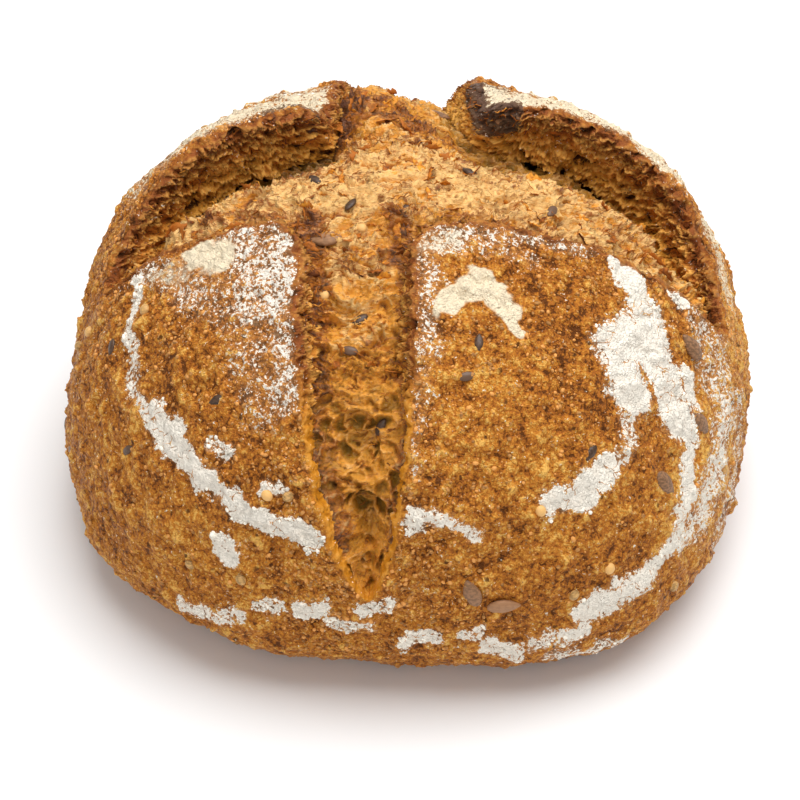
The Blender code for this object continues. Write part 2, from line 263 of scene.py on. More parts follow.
def colour(name, description, default):
    return FloatVectorProperty(
        name=name, description=description, default=default, subtype="COLOR", size=3, min=0.0, max=1.0
    )


def measure(name, description, default, **kind):
    return FloatProperty(name=name, description=description, default=default, min=0.0, **kind)


def length(name, description, default):
    return measure(name, description, default, unit="LENGTH", subtype="DISTANCE", precision=5)


def count(name, description, default):
    return IntProperty(name=name, description=description, default=default, min=0)


class CrustSettings(bpy.types.PropertyGroup):
    """Relief and colours of the crust."""

    lumps: length("Lumps", "Height of the broad unevenness of the skin", 0.0010)
    bumps: length("Bumps", "Height of the fine unevenness of the skin", 0.0006)
    knobs: length("Knobs", "Height of the skin over the seeds and grains under it", 0.0011)
    grains: length("Grains", "Height of the grains of meal in the skin", 0.00030)
    raggedness: length("Ragged edge", "How far the torn edge of the crust wanders", 0.0010)
    tatters: length("Torn face", "Depth of the relief of the torn faces", 0.0021)
    caves: length("Caves", "Depth of the torn bubbles in the torn faces", 0.0034)
    # pale: pale grains, with a painted highlight on the highest grains
    pale: colour("Pale", "The grains that stand out", (0.90, 0.51, 0.12))
    golden: colour("Golden", "Most of the skin", (0.60, 0.225, 0.028))
    brown: colour("Brown", "Skin where it is well baked", (0.40, 0.125, 0.018))
    # dark: painted shade in the crevices between the grains, and the darkest baked skin
    dark: colour("Dark", "Crevices between the grains of the skin", (0.13, 0.040, 0.008))
    torn_edge: colour("Torn edge", "The cut through the crust itself", (0.27, 0.076, 0.019))
    torn: colour("Torn face", "The torn face under the edge", (0.60, 0.20, 0.026))
    torn_deep: colour("Torn face, deep", "The torn face near the crumb", (0.68, 0.30, 0.040))
    # torn_tip_highlight: painted highlight on the strands that stand out of the torn face
    torn_tip_highlight: colour("Torn face, tips", "The strands that stand out of it", (0.90, 0.46, 0.10))
    fresh: colour("Banks", "The smooth banks of the lower groove", (0.56, 0.215, 0.014))
    # gaps: painted shade in the gaps between the torn strands and in the skin's pits
    gap_and_pit_shade: colour("Torn face, gaps", "The gaps between the torn strands", (0.075, 0.026, 0.008))
    charred: colour("Charred", "The burnt edges of the rear flaps", (0.105, 0.062, 0.044))


class CrumbSettings(bpy.types.PropertyGroup):
    """Relief and colours of the crumb."""

    ridges: length("Ridges", "Height of the torn ridges", 0.0030)
    strands: length("Strands", "Height of the torn strands", 0.0018)
    layers: length("Layers", "Height of the edges of the torn layers", 0.0013)
    fibres: length("Fibres", "Height of the fine fibres", 0.0010)
    cells: length("Cells", "Depth of the small torn bubbles", 0.0024)
    # bloom: the crumb's pale bloom, also a painted highlight on its crests and crown
    bloom: colour("Bloom", "The pale bloom on the crown", (0.96, 0.580, 0.205))
    gold: colour("Gold", "Most of the crumb", (0.82, 0.340, 0.034))
    # strand and toast also paint shade in the crumb's crevices and under its torn layers
    strand: colour("Strand", "Strands that caught some heat", (0.42, 0.125, 0.014))
    toast: colour("Toast", "Ridges that caught the most heat", (0.12, 0.034, 0.011))
    # hollow: painted shade inside the bubbles, between the fibres and in the deep hollows under the rear
    # flaps
    hollow: colour("Hollow", "The soft inside of the bubbles", (0.25, 0.125, 0.008))


class ShredSettings(bpy.types.PropertyGroup):
    """The torn threads and flakes on the crumb and along the torn faces."""

    threads: count("Threads", "Threads on the crumb", 1500)
    wall_threads: count("Threads on the lips", "Threads along the torn faces", 2600)
    flakes: count("Flakes", "Flakes on the crumb", 260)
    length: length("Length", "Length of a thread", 0.0034)
    flake: length("Flake", "Length of a flake", 0.0015)


class SeedSettings(bpy.types.PropertyGroup):
    """Numbers and colours of the seeds and the grit."""

    linseed: colour("Linseed", "Seed coat of the linseeds", (0.085, 0.046, 0.027))
    sunflower: colour("Sunflower", "Kernels, toasted", (0.30, 0.150, 0.070))
    millet: colour("Millet", "Pale round grains", (0.66, 0.38, 0.13))
    meal: colour("Meal", "Grains of meal", (0.56, 0.25, 0.06))
    grit: count("Grit", "Fine grains of meal on the crust", 6500)


class FlourSettings(bpy.types.PropertyGroup):
    """The flour left on the crust."""

    white: colour("Flour", "Dry flour", (0.98, 0.905, 0.785))
    cream: colour("Cream", "Flour that has taken up moisture and colour", (0.91, 0.77, 0.55))
    dust: colour("Dust", "Flour so thin that the crust shows through", (0.82, 0.52, 0.26))
    thickness: length("Thickness", "Thickness of the caked flour", 0.0005)
    clumps: count("Clumps", "Small clumps of flour", 1500)


class StageSettings(bpy.types.PropertyGroup):
    """Camera, lights and floor."""

    distance: length("Camera distance", "From the camera to the middle of the loaf", 0.8)
    floor: colour("Floor", "The plain floor", (0.92, 0.92, 0.92))
    sky: measure("Sky", "Strength of the even light from all round", 0.48)
    key: measure("Key light", "Power of the soft light overhead", 12.2, unit="POWER")
    fill: measure("Fill light", "Power of the light from the front", 2.0, unit="POWER")


# ---- Noise for the relief ----

NOISE_DRAW = 11
SLOPES = np.random.default_rng(NOISE_DRAW).normal(size=(256, 3))
SLOPES /= np.linalg.norm(SLOPES, axis=1)[:, None]


def drawn(cells, seed):
    """A repeatable random whole number under 256 for each cell of space."""
    code = cells[:, 0] * 73856093 ^ cells[:, 1] * 19349663 ^ cells[:, 2] * 83492791 ^ seed * 22468225
    code = (code ^ (code >> 13)) * 1274126177
    return (code ^ (code >> 16)) & 255


def waves(points, size, seed):
    """Smooth noise, about -1 to 1, with waves as long as size, which may differ along X, Y and Z."""
    spots = points / size
    low = np.floor(spots).astype(np.int64)
    inner = spots - low
    ease = inner**3 * (inner * (inner * 6.0 - 15.0) + 10.0)
    total = np.zeros(len(spots))
    for corner in itertools.product((0, 1), repeat=3):
        slope = SLOPES[drawn(low + corner, seed)]
        weight = np.where(corner, ease, 1.0 - ease).prod(axis=1)
        total += weight * ((inner - corner) * slope).sum(axis=1)
    return total * 1.8


def fractal(points, size, octaves=3, seed=0):
    """Smooth noise with finer waves on top, about -1 to 1."""
    size = np.ones(3) * size
    return sum(waves(points, size / 2.03**i, seed + i) * 0.5**i for i in range(octaves))


def crests(points, size, octaves=3, seed=0):
    """Noise with sharp crests: near 1 along them, and about 0 between."""
    size = np.ones(3) * size
    total, share = np.zeros(len(points)), np.ones(len(points))
    for i in range(octaves):
        crest = np.clip(1.0 - 1.5 * np.abs(waves(points, size / 2.1**i, seed + i)), 0.0, 1.0) ** 1.5
        total += crest * share * 0.5**i
        share = np.clip(crest * 1.5, 0.0, 1.0)
    return np.clip(total / 1.35, 0.0, 1.0)


def packed(points, size, seed):
    """Packed cells: distance to the cell's middle, how far inside its walls, and a random number for each."""
    spots = points / size
    low = np.floor(spots).astype(np.int64)
    first, second, number = np.full(len(spots), 9.0), np.full(len(spots), 9.0), np.zeros(len(spots))
    for corner in itertools.product((-1, 0, 1), repeat=3):
        cell = low + corner
        code = drawn(cell, seed)
        away = np.linalg.norm(spots - cell - 0.5 - 0.42 * SLOPES[code], axis=1)
        nearer = away < first
        second = np.where(nearer, first, np.minimum(second, away))
        number = np.where(nearer, code / 255.0, number)
        first = np.where(nearer, away, first)
    return first, second - first, number


# ---- Helpers for meshes ----


def grid_mesh(name, columns, rows):
    """A grid of quads made by bmesh, with the column and row of each of its vertices."""
    bm = bmesh.new()
    bmesh.ops.create_grid(bm, x_segments=columns, y_segments=rows, size=1.0)
    mesh = bpy.data.meshes.new(name)
    bm.to_mesh(mesh)
    bm.free()
    flat = coordinates(mesh)
    column = np.rint((flat[:, 0] + 1) / 2 * columns).astype(int)
    row = np.rint((flat[:, 1] + 1) / 2 * rows).astype(int)
    return mesh, column, row


def coordinates(mesh):
    flat = np.empty(len(mesh.vertices) * 3)
    mesh.vertices.foreach_get("co", flat)
    return flat.reshape(-1, 3)


def normals_of(mesh):
    flat = np.empty(len(mesh.vertices) * 3)
    mesh.vertex_normals.foreach_get("vector", flat)
    return flat.reshape(-1, 3)


def painted(mesh, name):
    values = np.empty(len(mesh.vertices))
    mesh.attributes[name].data.foreach_get("value", values)
    return values


def move_vertices(mesh, points):
    mesh.vertices.foreach_set("co", np.ascontiguousarray(points, dtype=np.float32).ravel())
    mesh.update()


def paint(mesh, **values):
    """Stores a value for each vertex under each name."""
    for name, each in values.items():
        layer = mesh.attributes.new(name, "FLOAT", "POINT")
        layer.data.foreach_set("value", np.ascontiguousarray(each, dtype=np.float32))


def piece(name, mesh, material):
    """A finished piece of the loaf: it rides on the loaf's body and stands for the loaf's solid."""
    mesh.materials.append(material)
    mesh.shade_smooth()
    thing = bpy.data.objects.new(name, mesh)
    bpy.context.scene.collection.objects.link(thing)
    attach(thing, BODY)
    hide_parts(NODE)


def scattered(name, templates, frames, material, slot, **values):
    """One mesh with a copy of a template at each matrix, taking turns, and painted values for each copy."""
    corners = np.array([[[*v.co, 1.0] for v in bm.verts] for bm in templates])
    turn = np.arange(len(frames)) % len(templates)
    points = np.einsum("nij,nvj->nvi", np.array(frames), corners[turn])[..., :3].reshape(-1, 3)
    mesh = bpy.data.meshes.new(name)
    bm = templates[0].copy()
    while len(bm.verts) < len(points):
        bm.to_mesh(mesh)
        bm.from_mesh(mesh)
    bm.verts.ensure_lookup_table()
    bmesh.ops.delete(bm, geom=bm.verts[len(points) :], context="VERTS")
    bm.to_mesh(mesh)
    bm.free()
    move_vertices(mesh, points)
    for value_name, each in values.items():
        paint(mesh, **{value_name: np.repeat(each, corners.shape[1])})
    piece(name, mesh, material)


def triangulated(bm):
    bmesh.ops.recalc_face_normals(bm, faces=bm.faces)
    bmesh.ops.triangulate(bm, faces=bm.faces)
    bm.verts.index_update()
    bm.verts.ensure_lookup_table()
    return bm


def standing(point, normal, turn, lean, size):
    """The matrix of a copy that stands at a point: its Z along the normal, then turned and leaned over."""
    upright = Vector(normal).to_track_quat("Z", "Y").to_matrix().to_4x4()
    lay = Matrix.Rotation(turn, 4, "Z") @ Matrix.Rotation(lean, 4, "X")
    return Matrix.Translation(point) @ upright @ lay @ Matrix.Diagonal((*size, 1.0))


def lying(point, normal, along, size):
    """The matrix of a copy whose X lies along a direction and whose Z points away from the surface."""
    z = Vector(normal).normalized()
    x = Vector(along) - z * Vector(along).dot(z)
    x.normalize()
    y = z.cross(x)
    turn = Matrix((x, y, z)).transposed().to_4x4()
    return Matrix.Translation(point) @ turn @ Matrix.Diagonal((*size, 1.0))


def spots_on(names, draw, count, weight):
    """Random vertices of the named pieces: places, normals and indices, taken as often as weight says."""
    points, outward, chance = [], [], []
    for name in names:
        if name not in bpy.data.objects:
            raise RuntimeError(f"{name} has to be made first")
        mesh = bpy.data.objects[name].data
        points.append(coordinates(mesh))
        outward.append(normals_of(mesh))
        chance.append(weight(mesh))
    points, outward, chance = np.vstack(points), np.vstack(outward), np.concatenate(chance)
    picked = draw.choice(len(points), count, replace=False, p=chance / chance.sum())
    return points[picked], outward[picked]


# ---- Helpers for materials ----


class Wiring:
    """Adds nodes to a node tree. Each method takes numbers, colours or sockets and gives back a socket."""

    def __init__(self, tree):
        self.tree = tree

    def node(self, kind, fed=None, **settings):
        """A new node with its settings made first and then its inputs fed."""
        made = self.tree.nodes.new(kind)
        for name, value in settings.items():
            setattr(made, name, value)
        for socket, value in (fed or {}).items():
            self.feed(made.inputs[socket], value)
        return made

    def feed(self, socket, value):
        if isinstance(value, bpy.types.NodeSocket):
            self.tree.links.new(value, socket)
        elif socket.type == "RGBA" and len(value) == 3:
            socket.default_value = (*value, 1.0)
        else:
            socket.default_value = value

    def place(self):
        return self.node("ShaderNodeTexCoord").outputs["Object"]

    def value(self, name):
        return self.node("ShaderNodeAttribute", attribute_name=name).outputs["Fac"]

    def math(self, operation, first, second=0.0):
        return self.node("ShaderNodeMath", {0: first, 1: second}, operation=operation).outputs[0]

    def times(self, first, second):
        return self.math("MULTIPLY", first, second)

    def plus(self, *values):
        total = values[0]
        for value in values[1:]:
            total = self.math("ADD", total, value)
        return total

    def swing(self, value, amount):
        """The value's difference from a half, times the amount."""
        return self.times(self.math("SUBTRACT", value, 0.5), amount)

    def between(self, low, high, value, start=0.0, end=1.0):
        """Smoothly from start to end as the value goes from low to high."""
        fed = {"Value": value, "From Min": low, "From Max": high, "To Min": start, "To Max": end}
        return self.node("ShaderNodeMapRange", fed, interpolation_type="SMOOTHSTEP").outputs["Result"]

    def noise(self, vector, scale, detail=3.0, roughness=0.55):
        fed = {"Vector": vector, "Scale": scale, "Detail": detail, "Roughness": roughness}
        return self.node("ShaderNodeTexNoise", fed).outputs["Fac"]

    def cells(self, vector, scale, feature="F1"):
        return self.node("ShaderNodeTexVoronoi", {"Vector": vector, "Scale": scale}, feature=feature).outputs

    def stretched(self, vector, scale, turn=(0.0, 0.0, 0.0)):
        return self.node("ShaderNodeMapping", {"Vector": vector, "Scale": scale, "Rotation": turn}).outputs[0]

    def shaken(self, vector, scale, amount):
        """The vector moved about by noise, by up to the amount."""
        noise = self.node("ShaderNodeTexNoise", {"Vector": vector, "Scale": scale}).outputs["Color"]
        fed = {0: noise, 1: (amount, amount, amount), 2: vector}
        return self.node("ShaderNodeVectorMath", fed, operation="MULTIPLY_ADD").outputs[0]

    def mix(self, share, first, second):
        """The first colour at a share of 0, the second at 1."""
        fed = {"Factor": share, 6: first, 7: second}
        return self.node("ShaderNodeMix", fed, data_type="RGBA", clamp_factor=True).outputs[2]

    def layered(self, base, *layers):
        """Each layer's colour mixed over the last, by up to its share, as its value goes from low to high."""
        for value, low, high, share, tint in layers:
            base = self.mix(self.between(low, high, value, 0.0, share), base, tint)
        return base

    def red(self, value):
        return self.node("ShaderNodeSeparateColor", {0: value}).outputs[0]

    def bump(self, height, strength, distance):
        fed = {"Height": height, "Strength": strength, "Distance": distance}
        return self.node("ShaderNodeBump", fed).outputs[0]

    def group(self, tree, **inputs):
        return self.node("ShaderNodeGroup", inputs, node_tree=tree).outputs


def new_group(name, inputs, outputs):
    """A node group with named sockets, its wiring, its inputs and a function that feeds its outputs."""
    tree = bpy.data.node_groups.new(name, "ShaderNodeTree")
    for socket, kind, default in inputs:
        made = tree.interface.new_socket(socket, in_out="INPUT", socket_type=kind)
        if default is not None:
            made.default_value = default
    for socket, kind in outputs:
        tree.interface.new_socket(socket, in_out="OUTPUT", socket_type=kind)
    wiring = Wiring(tree)
    start = wiring.node("NodeGroupInput").outputs
    end = wiring.node("NodeGroupOutput").inputs
    return tree, wiring, start, lambda **fed: [wiring.feed(end[name], value) for name, value in fed.items()]


def grain_group():
    """Packed grains of meal: their height, about a half on average, and a random tone for each."""
    if "Grain" in bpy.data.node_groups:
        return bpy.data.node_groups["Grain"]
    tree, w, start, finish = new_group(
        "Grain",
        [("Vector", "NodeSocketVector", None)],
        [("Height", "NodeSocketFloat"), ("Tone", "NodeSocketFloat")],
    )
    place = w.shaken(start["Vector"], 800.0, 0.0013)
    large = w.cells(place, 640.0)
    small = w.cells(place, 1300.0)
    fine = w.noise(start["Vector"], 2300.0, 2.0, 0.6)
    broad = w.noise(start["Vector"], 420.0, 2.0, 0.6)
    bran = w.math("ABSOLUTE", w.math("SUBTRACT", w.noise(start["Vector"], 800.0, 1.0), 0.5))
    curl = w.times(w.between(0.050, 0.005, bran), w.between(0.35, 0.60, broad))
    height = w.plus(w.times(w.math("SUBTRACT", 0.42, large["Distance"]), 0.70), 0.5)
    height = w.plus(height, w.times(w.math("SUBTRACT", 0.42, small["Distance"]), 0.6))
    height = w.plus(height, w.swing(fine, 0.8), w.swing(broad, 0.6), w.times(curl, 0.34))
    tone = w.plus(w.times(w.red(large["Color"]), 0.6), w.times(w.red(small["Color"]), 0.4))
    finish(Height=height, Tone=tone)
    return tree


def flour_group():
    """Flour as a broken cover: densities go in, and a mask of dust, patches and cracks comes out."""
    if "Flour cover" in bpy.data.node_groups:
        return bpy.data.node_groups["Flour cover"]
    sockets = ("Density", "Cake", "Cream", "Rise")
    tree, w, start, finish = new_group(
        "Flour cover",
        [("Vector", "NodeSocketVector", None)] + [(name, "NodeSocketFloat", 0.0) for name in sockets],
        [("Mask", "NodeSocketFloat"), ("Height", "NodeSocketFloat"), ("Shade", "NodeSocketFloat")],
    )
    place = start["Vector"]
    speck = w.noise(place, 1050.0, 3.0, 0.7)
    clump = w.noise(place, 380.0, 2.0, 0.6)
    shaken = w.shaken(place, 330.0, 0.0030)
    puff = w.cells(shaken, 250.0)
    seam = w.cells(shaken, 250.0, "DISTANCE_TO_EDGE")["Distance"]
    where = w.noise(place, 110.0, 1.0)
    loose = w.plus(w.swing(speck, 2.2), w.swing(clump, 0.8), w.swing(start["Rise"], 0.7))
    firm = w.plus(w.swing(w.red(puff["Color"]), 0.45), w.swing(clump, 0.8), w.swing(speck, 0.25))
    stir = w.plus(w.times(loose, w.math("SUBTRACT", 1.0, start["Cake"])), w.times(firm, start["Cake"]))
    crack = w.times(w.between(0.045, 0.012, seam), w.between(0.47, 0.56, where))
    crack = w.times(crack, start["Cake"])
    density = w.plus(start["Density"], stir, w.times(crack, -0.8))
    mask = w.between(0.42, 0.62, density)
    soft = w.plus(start["Cream"], w.swing(speck, 0.35), w.swing(clump, 0.35))
    mask = w.math("MAXIMUM", mask, w.between(0.22, 0.80, soft))
    haze = w.between(0.05, 0.80, start["Density"], 0.0, 0.38)
    mask = w.math("MAXIMUM", mask, w.times(haze, w.between(0.35, 0.60, speck, 0.30, 1.0)))
    finish(Mask=mask, Height=w.plus(w.swing(speck, 0.5), w.swing(clump, 0.7)), Shade=clump)
    return tree


def new_material(name):
    """A material with its wiring and its shader's inputs."""
    material = bpy.data.materials.new(name)
    material.use_nodes = True
    shader = material.node_tree.nodes["Principled BSDF"]
    shader.inputs["Specular IOR Level"].default_value = 0.22
    return material, Wiring(material.node_tree), shader.inputs


def skin_colour(w, place, grain):
    """The baked skin: dark, as painted shade, between its grains, golden on them, pale on the highest with a
    painted highlight, and a few pits in painted shade.
    """
    settings = bpy.context.scene.loaf_crust
    patches = w.noise(place, 70.0, 4.0, 0.62)
    blotches = w.noise(place, 260.0, 3.0, 0.65)
    # bake: browning, and painted light where the negative strokes lighten the skin, with blotches
    bake = w.plus(w.value("tan"), w.swing(patches, 1.0), w.swing(blotches, 0.8))
    # The grains' height lifts the tone: painted shade between the grains and painted highlight on their tops
    tone = w.plus(grain["Height"], w.swing(grain["Tone"], 0.40), w.times(w.value("knob"), 0.50))
    # rise: the skin's fine relief, painted as shade in its valleys and as light on its rises
    tone = w.plus(tone, w.times(w.value("rise"), 0.24), w.times(bake, -0.62), 0.22)
    skin = w.layered(
        settings.dark,
        (tone, -0.06, 0.22, 1.0, settings.brown),
        (tone, 0.22, 0.56, 1.0, settings.golden),
        (tone, 0.54, 0.96, 0.90, settings.pale),
    )
    # painted shade: a few pits of the skin are darkened in colour only
    pits = w.cells(w.shaken(place, 300.0, 0.003), 260.0)
    pit_shade = w.times(w.between(0.24, 0.12, pits["Distance"]), w.between(0.70, 0.76, w.red(pits["Color"])))
    return w.mix(w.times(pit_shade, 0.85), skin, settings.gap_and_pit_shade)


def torn_colour(w, crest):
    """The torn face: dark at the edge, painted shade in its gaps, paler deeper down, and paler with a painted
    highlight on its strands.
    """
    settings = bpy.context.scene.loaf_crust
    depth = w.value("depth")
    torn = w.layered(
        settings.torn_edge,
        (depth, 0.14, 0.58, 1.0, settings.torn),
        (depth, 0.40, 0.85, 1.0, settings.torn_deep),
    )
    torn = w.mix(w.value("fresh"), torn, settings.fresh)
    # painted shade where the torn face has no crest
    torn = w.mix(w.between(0.40, 0.02, crest), torn, settings.gap_and_pit_shade)
    # painted highlight on the crests of the torn strands
    lit = w.times(w.between(0.52, 0.95, crest), w.between(0.05, 0.45, depth, 0.30, 0.85))
    return w.mix(lit, torn, settings.torn_tip_highlight)


def powder_colour(w, cover):
    """Flour: white where it lies dry, cream where it took up moisture, and like dust where it is thin."""
    flour = bpy.context.scene.loaf_flour
    tint = w.plus(w.value("cream"), w.value("yellow"))
    powder = w.mix(w.between(0.1, 0.7, tint), flour.white, flour.cream)
    powder = w.mix(w.between(0.10, 0.80, cover["Mask"]), flour.dust, powder)
    shade = w.between(0.60, 0.30, cover["Shade"], 0.0, 0.06)
    return w.mix(shade, powder, bpy.context.scene.loaf_crust.golden)


def crust_material():
    settings = bpy.context.scene.loaf_crust
    material, w, shader = new_material("crust")
    shader["Specular IOR Level"].default_value = 0.10
    place = w.place()
    grain = w.group(grain_group(), Vector=place)
    strands = w.noise(w.stretched(w.shaken(place, 250.0, 0.003), (0.5, 0.5, 1.3)), 620.0, 4.0, 0.7)
    crest = w.plus(w.value("crest"), w.swing(strands, w.between(0.0, 1.0, w.value("fresh"), 1.9, 0.9)))
    skin = w.mix(w.value("torn"), skin_colour(w, place, grain), torn_colour(w, crest))
    burnt = w.times(w.value("char"), w.between(0.80, 0.30, w.value("depth")))
    scorch = w.plus(burnt, w.swing(w.noise(place, 500.0, 3.0, 0.7), 1.6), w.swing(crest, -0.4))
    char = w.between(0.45, 0.85, scorch, 0.0, 0.92)
    skin = w.mix(char, skin, settings.charred)
    cover = w.group(
        flour_group(),
        Vector=place,
        Density=w.value("flour"),
        Cake=w.value("cake"),
        Cream=w.value("cream"),
        Rise=grain["Height"],
    )
    w.feed(shader["Base Color"], w.mix(cover["Mask"], skin, powder_colour(w, cover)))
    w.feed(shader["Roughness"], w.between(0.0, 1.0, cover["Mask"], 0.42, 0.92))
    bare = w.math("SUBTRACT", 1.0, w.value("torn"))
    pull = w.times(w.value("torn"), w.between(0.0, 1.0, w.value("fresh"), 1.5, 0.5))
    relief = w.plus(w.times(w.times(grain["Height"], bare), 0.75), w.times(strands, pull))
    w.feed(shader["Normal"], w.bump(w.plus(relief, w.times(cover["Height"], 0.25)), 1.0, 0.001))
    return material


def crumb_material():
    settings = bpy.context.scene.loaf_crumb
    material, w, shader = new_material("crumb")
    place = w.place()
    lengthwise = w.stretched(w.shaken(place, 120.0, 0.005), (0.20, 1.0, 1.0))
    crest = w.value("crest")
    mottle = w.noise(place, 190.0, 3.0, 0.65)
    streaks = w.noise(lengthwise, 620.0, 4.0, 0.7)
    fibre = w.noise(w.stretched(w.shaken(place, 260.0, 0.003), (0.24, 1.0, 1.0)), 1500.0, 3.0, 0.65)
    # pale: the bloom, with painted highlight on the crests
    pale = w.plus(w.value("bloom"), w.swing(mottle, 3.2), w.swing(streaks, 2.0), w.swing(crest, 1.8))
    heat = w.plus(w.value("edge"), w.swing(streaks, 3.0), w.swing(mottle, 1.0), w.value("toast"))
    base = w.layered(
        settings.gold,
        (pale, 0.0, 0.7, 1.0, settings.bloom),
        (heat, 0.44, 0.86, 0.95, settings.strand),
        (heat, 0.92, 1.40, 1.0, settings.toast),
        (fibre, 0.56, 0.70, 0.65, settings.strand),
        # painted shade between the fibres
        (fibre, 0.44, 0.30, 0.35, settings.hollow),
        # painted shade where the crumb has no crest
        (crest, 0.38, 0.10, 0.90, settings.strand),
        (crest, 0.18, 0.02, 0.7, settings.toast),
    )
    # painted shade inside the bubbles and in the deep hollows under the rear flaps
    base = w.mix(w.times(w.value("hollow"), 0.85), base, settings.hollow)
    film = w.times(w.value("membrane"), w.between(0.42, 0.62, streaks, 0.0, 0.50))
    base = w.mix(film, base, settings.bloom)
    # painted shade under the edges of the torn layers and in the pinholes
    base = w.mix(w.times(w.value("under"), 0.7), base, settings.toast)
    w.feed(shader["Base Color"], base)
    shader["Specular IOR Level"].default_value = 0.42
    w.feed(shader["Roughness"], w.between(0.3, 0.7, streaks, 0.26, 0.50))
    w.feed(shader["Normal"], w.bump(w.plus(streaks, w.times(fibre, 0.45)), 1.0, 0.0014))
    return material


def shred_material():
    """Threads and flakes: golden where they are pale, brown where they caught the heat."""
    settings = bpy.context.scene.loaf_crumb
    material, w, shader = new_material("shreds")
    place = w.place()
    heat = w.plus(w.value("tone"), w.swing(w.noise(place, 700.0, 4.0, 0.65), 1.4), 0.15)
    strands = (heat, 0.00, 0.45, 1.0, settings.strand)
    toasted = (heat, 0.60, 1.05, 1.0, settings.toast)
    w.feed(shader["Base Color"], w.layered(settings.gold, strands, toasted))
    shader["Roughness"].default_value = 0.6
    w.feed(shader["Normal"], w.bump(w.noise(place, 1400.0, 3.0), 0.7, 0.0004))
    return material


def seed_material(name, tint, roughness, light, dust):
    """A seed coat with lengthwise streaks, and a little flour where a seed is dusted."""
    flour = bpy.context.scene.loaf_flour
    material, w, shader = new_material(name)
    shader["Specular IOR Level"].default_value = 0.32
    place = w.place()
    lines = w.noise(w.stretched(place, (0.5, 1.0, 1.0), (0.3, 0.2, 0.9)), 1600.0, 3.0)
    darker = tuple(0.5 * c for c in tint)
    lighter = tuple(min(1.0, light * c) for c in tint)
    coat = w.mix(w.between(0.38, 0.62, lines), darker, tuple(tint))
    coat = w.mix(w.between(0.35, 1.0, w.value("tone")), coat, lighter)
    cover = w.group(flour_group(), Vector=place, Density=dust)
    w.feed(shader["Base Color"], w.mix(w.times(cover["Mask"], 0.8), coat, flour.white))
    w.feed(shader["Roughness"], w.between(0.0, 1.0, cover["Mask"], roughness, 0.9))
    w.feed(shader["Normal"], w.bump(lines, 0.5, 0.0003))
    return material


# ---- Flour, browning and burnt spots: places on the map ----

# Each stroke of flour: the places it runs through, half its width in degrees, its density, how caked it is
DUSTING = (
    (((-30, -9), (-24, -9), (-19, -12)), 3.4, 0.62, 0.0),
    (((-20, -14), (-22, -20), (-21, -27)), 5.4, 0.65, 0.0),
    (((-30, -14), (-27, -20), (-27, -27)), 4.4, 0.57, 0.0),
    (((-20, -26), (-20, -36), (-21, -43)), 4.0, 0.56, 0.0),
    (((-36, -21), (-31, -26), (-28, -36), (-26, -44)), 5.0, 0.36, 0.0),
    (((-50, -10), (-44, -14), (-38, -20)), 3.2, 0.50, 0.0),
    (((3, -15), (9, -17)), 3.2, 0.58, 0.0),
    (((3, -20), (4, -27), (3, -37)), 3.4, 0.46, 0.0),
    (((12, -15), (21, -14), (28, -13), (35, -11)), 2.2, 0.46, 0.0),
    (((14, -18), (22, -19)), 2.0, 0.36, 0.0),
    (((2, -38), (2, -58)), 2.2, 0.34, 0.0),
    (((54, -8), (58, -16), (63, -24)), 4.6, 0.48, 0.0),
    (((60, -12), (67, -24), (70, -36), (66, -50)), 5.0, 0.52, 0.0),
    (((67, -26), (70, -36), (67, -46), (61, -58)), 2.0, 0.72, 0.1),
    (((76, -20), (82, -32), (80, -44)), 5.0, 0.50, 0.0),
    (((1, -65), (5, -65), (9, -66), (14, -68)), 1.6, 0.84, 0.2),
)
CAKED = (
    (((-51, -9), (-52, -14), (-53, -22)), 1.5, 0.80, 0.3),
    (((-53, -22), (-53, -31), (-50, -39)), 1.4, 0.66, 0.1),
    (((-49, -38), (-46, -43), (-43, -49), (-38, -55)), 2.5, 1.00, 0.8),
    (((-38, -55), (-32, -61), (-26, -65), (-19, -68)), 2.3, 0.92, 0.6),
    (((-37, -47), (-33, -50)), 1.2, 0.70, 0.3),
    (((-27, -57), (-24, -58)), 1.3, 0.78, 0.4),
    (((-39, -64), (-37, -68)), 1.9, 0.90, 0.5),
    (((36, -8), (38, -11), (41, -16), (44, -22)), 2.7, 1.00, 0.9),
    (((48, -11), (51, -13)), 2.4, 1.00, 0.9),
    (((44, -22), (42, -27), (38, -31), (42, -36)), 4.2, 1.20, 1.0),
    (((46, -26), (50, -31), (53, -37)), 3.8, 1.15, 1.0),
    (((55, -28), (56.5, -31)), 1.8, 0.95, 0.8),
    (((56, -36), (58, -42), (59, -49)), 2.5, 0.95, 0.5),
    (((59, -49), (59, -58), (55, -65)), 2.0, 0.88, 0.4),
    (((55, -65), (50, -70), (45, -74), (41, -77)), 2.6, 0.92, 0.5),
    (((42, -41), (41, -48), (38, -54)), 2.2, 0.62, 0.2),
    (((38, -52), (34, -57), (29, -60)), 2.7, 1.00, 0.9),
    (((-56, -73), (-48, -77), (-42, -79)), 2.0, 0.72, 0.3),
    (((-36, -79), (-30, -81)), 1.6, 0.66, 0.3),
    (((-25, -81), (-20, -82)), 2.3, 0.92, 0.6),
    (((-18, -86), (-10, -88)), 1.8, 0.66, 0.3),
    (((-10, -83), (-4, -82)), 2.0, 0.74, 0.4),
    (((0, -91), (8, -90)), 2.2, 0.80, 0.5),
    (((15, -88), (19, -87)), 1.6, 0.70, 0.4),
    (((22, -91), (29, -90)), 2.4, 0.84, 0.5),
    (((32, -87), (36, -84)), 1.6, 0.70, 0.4),
    (((39, -83), (44, -80)), 2.0, 0.80, 0.4),
    (((40, -88), (50, -84), (58, -78)), 2.4, 0.62, 0.3),
)
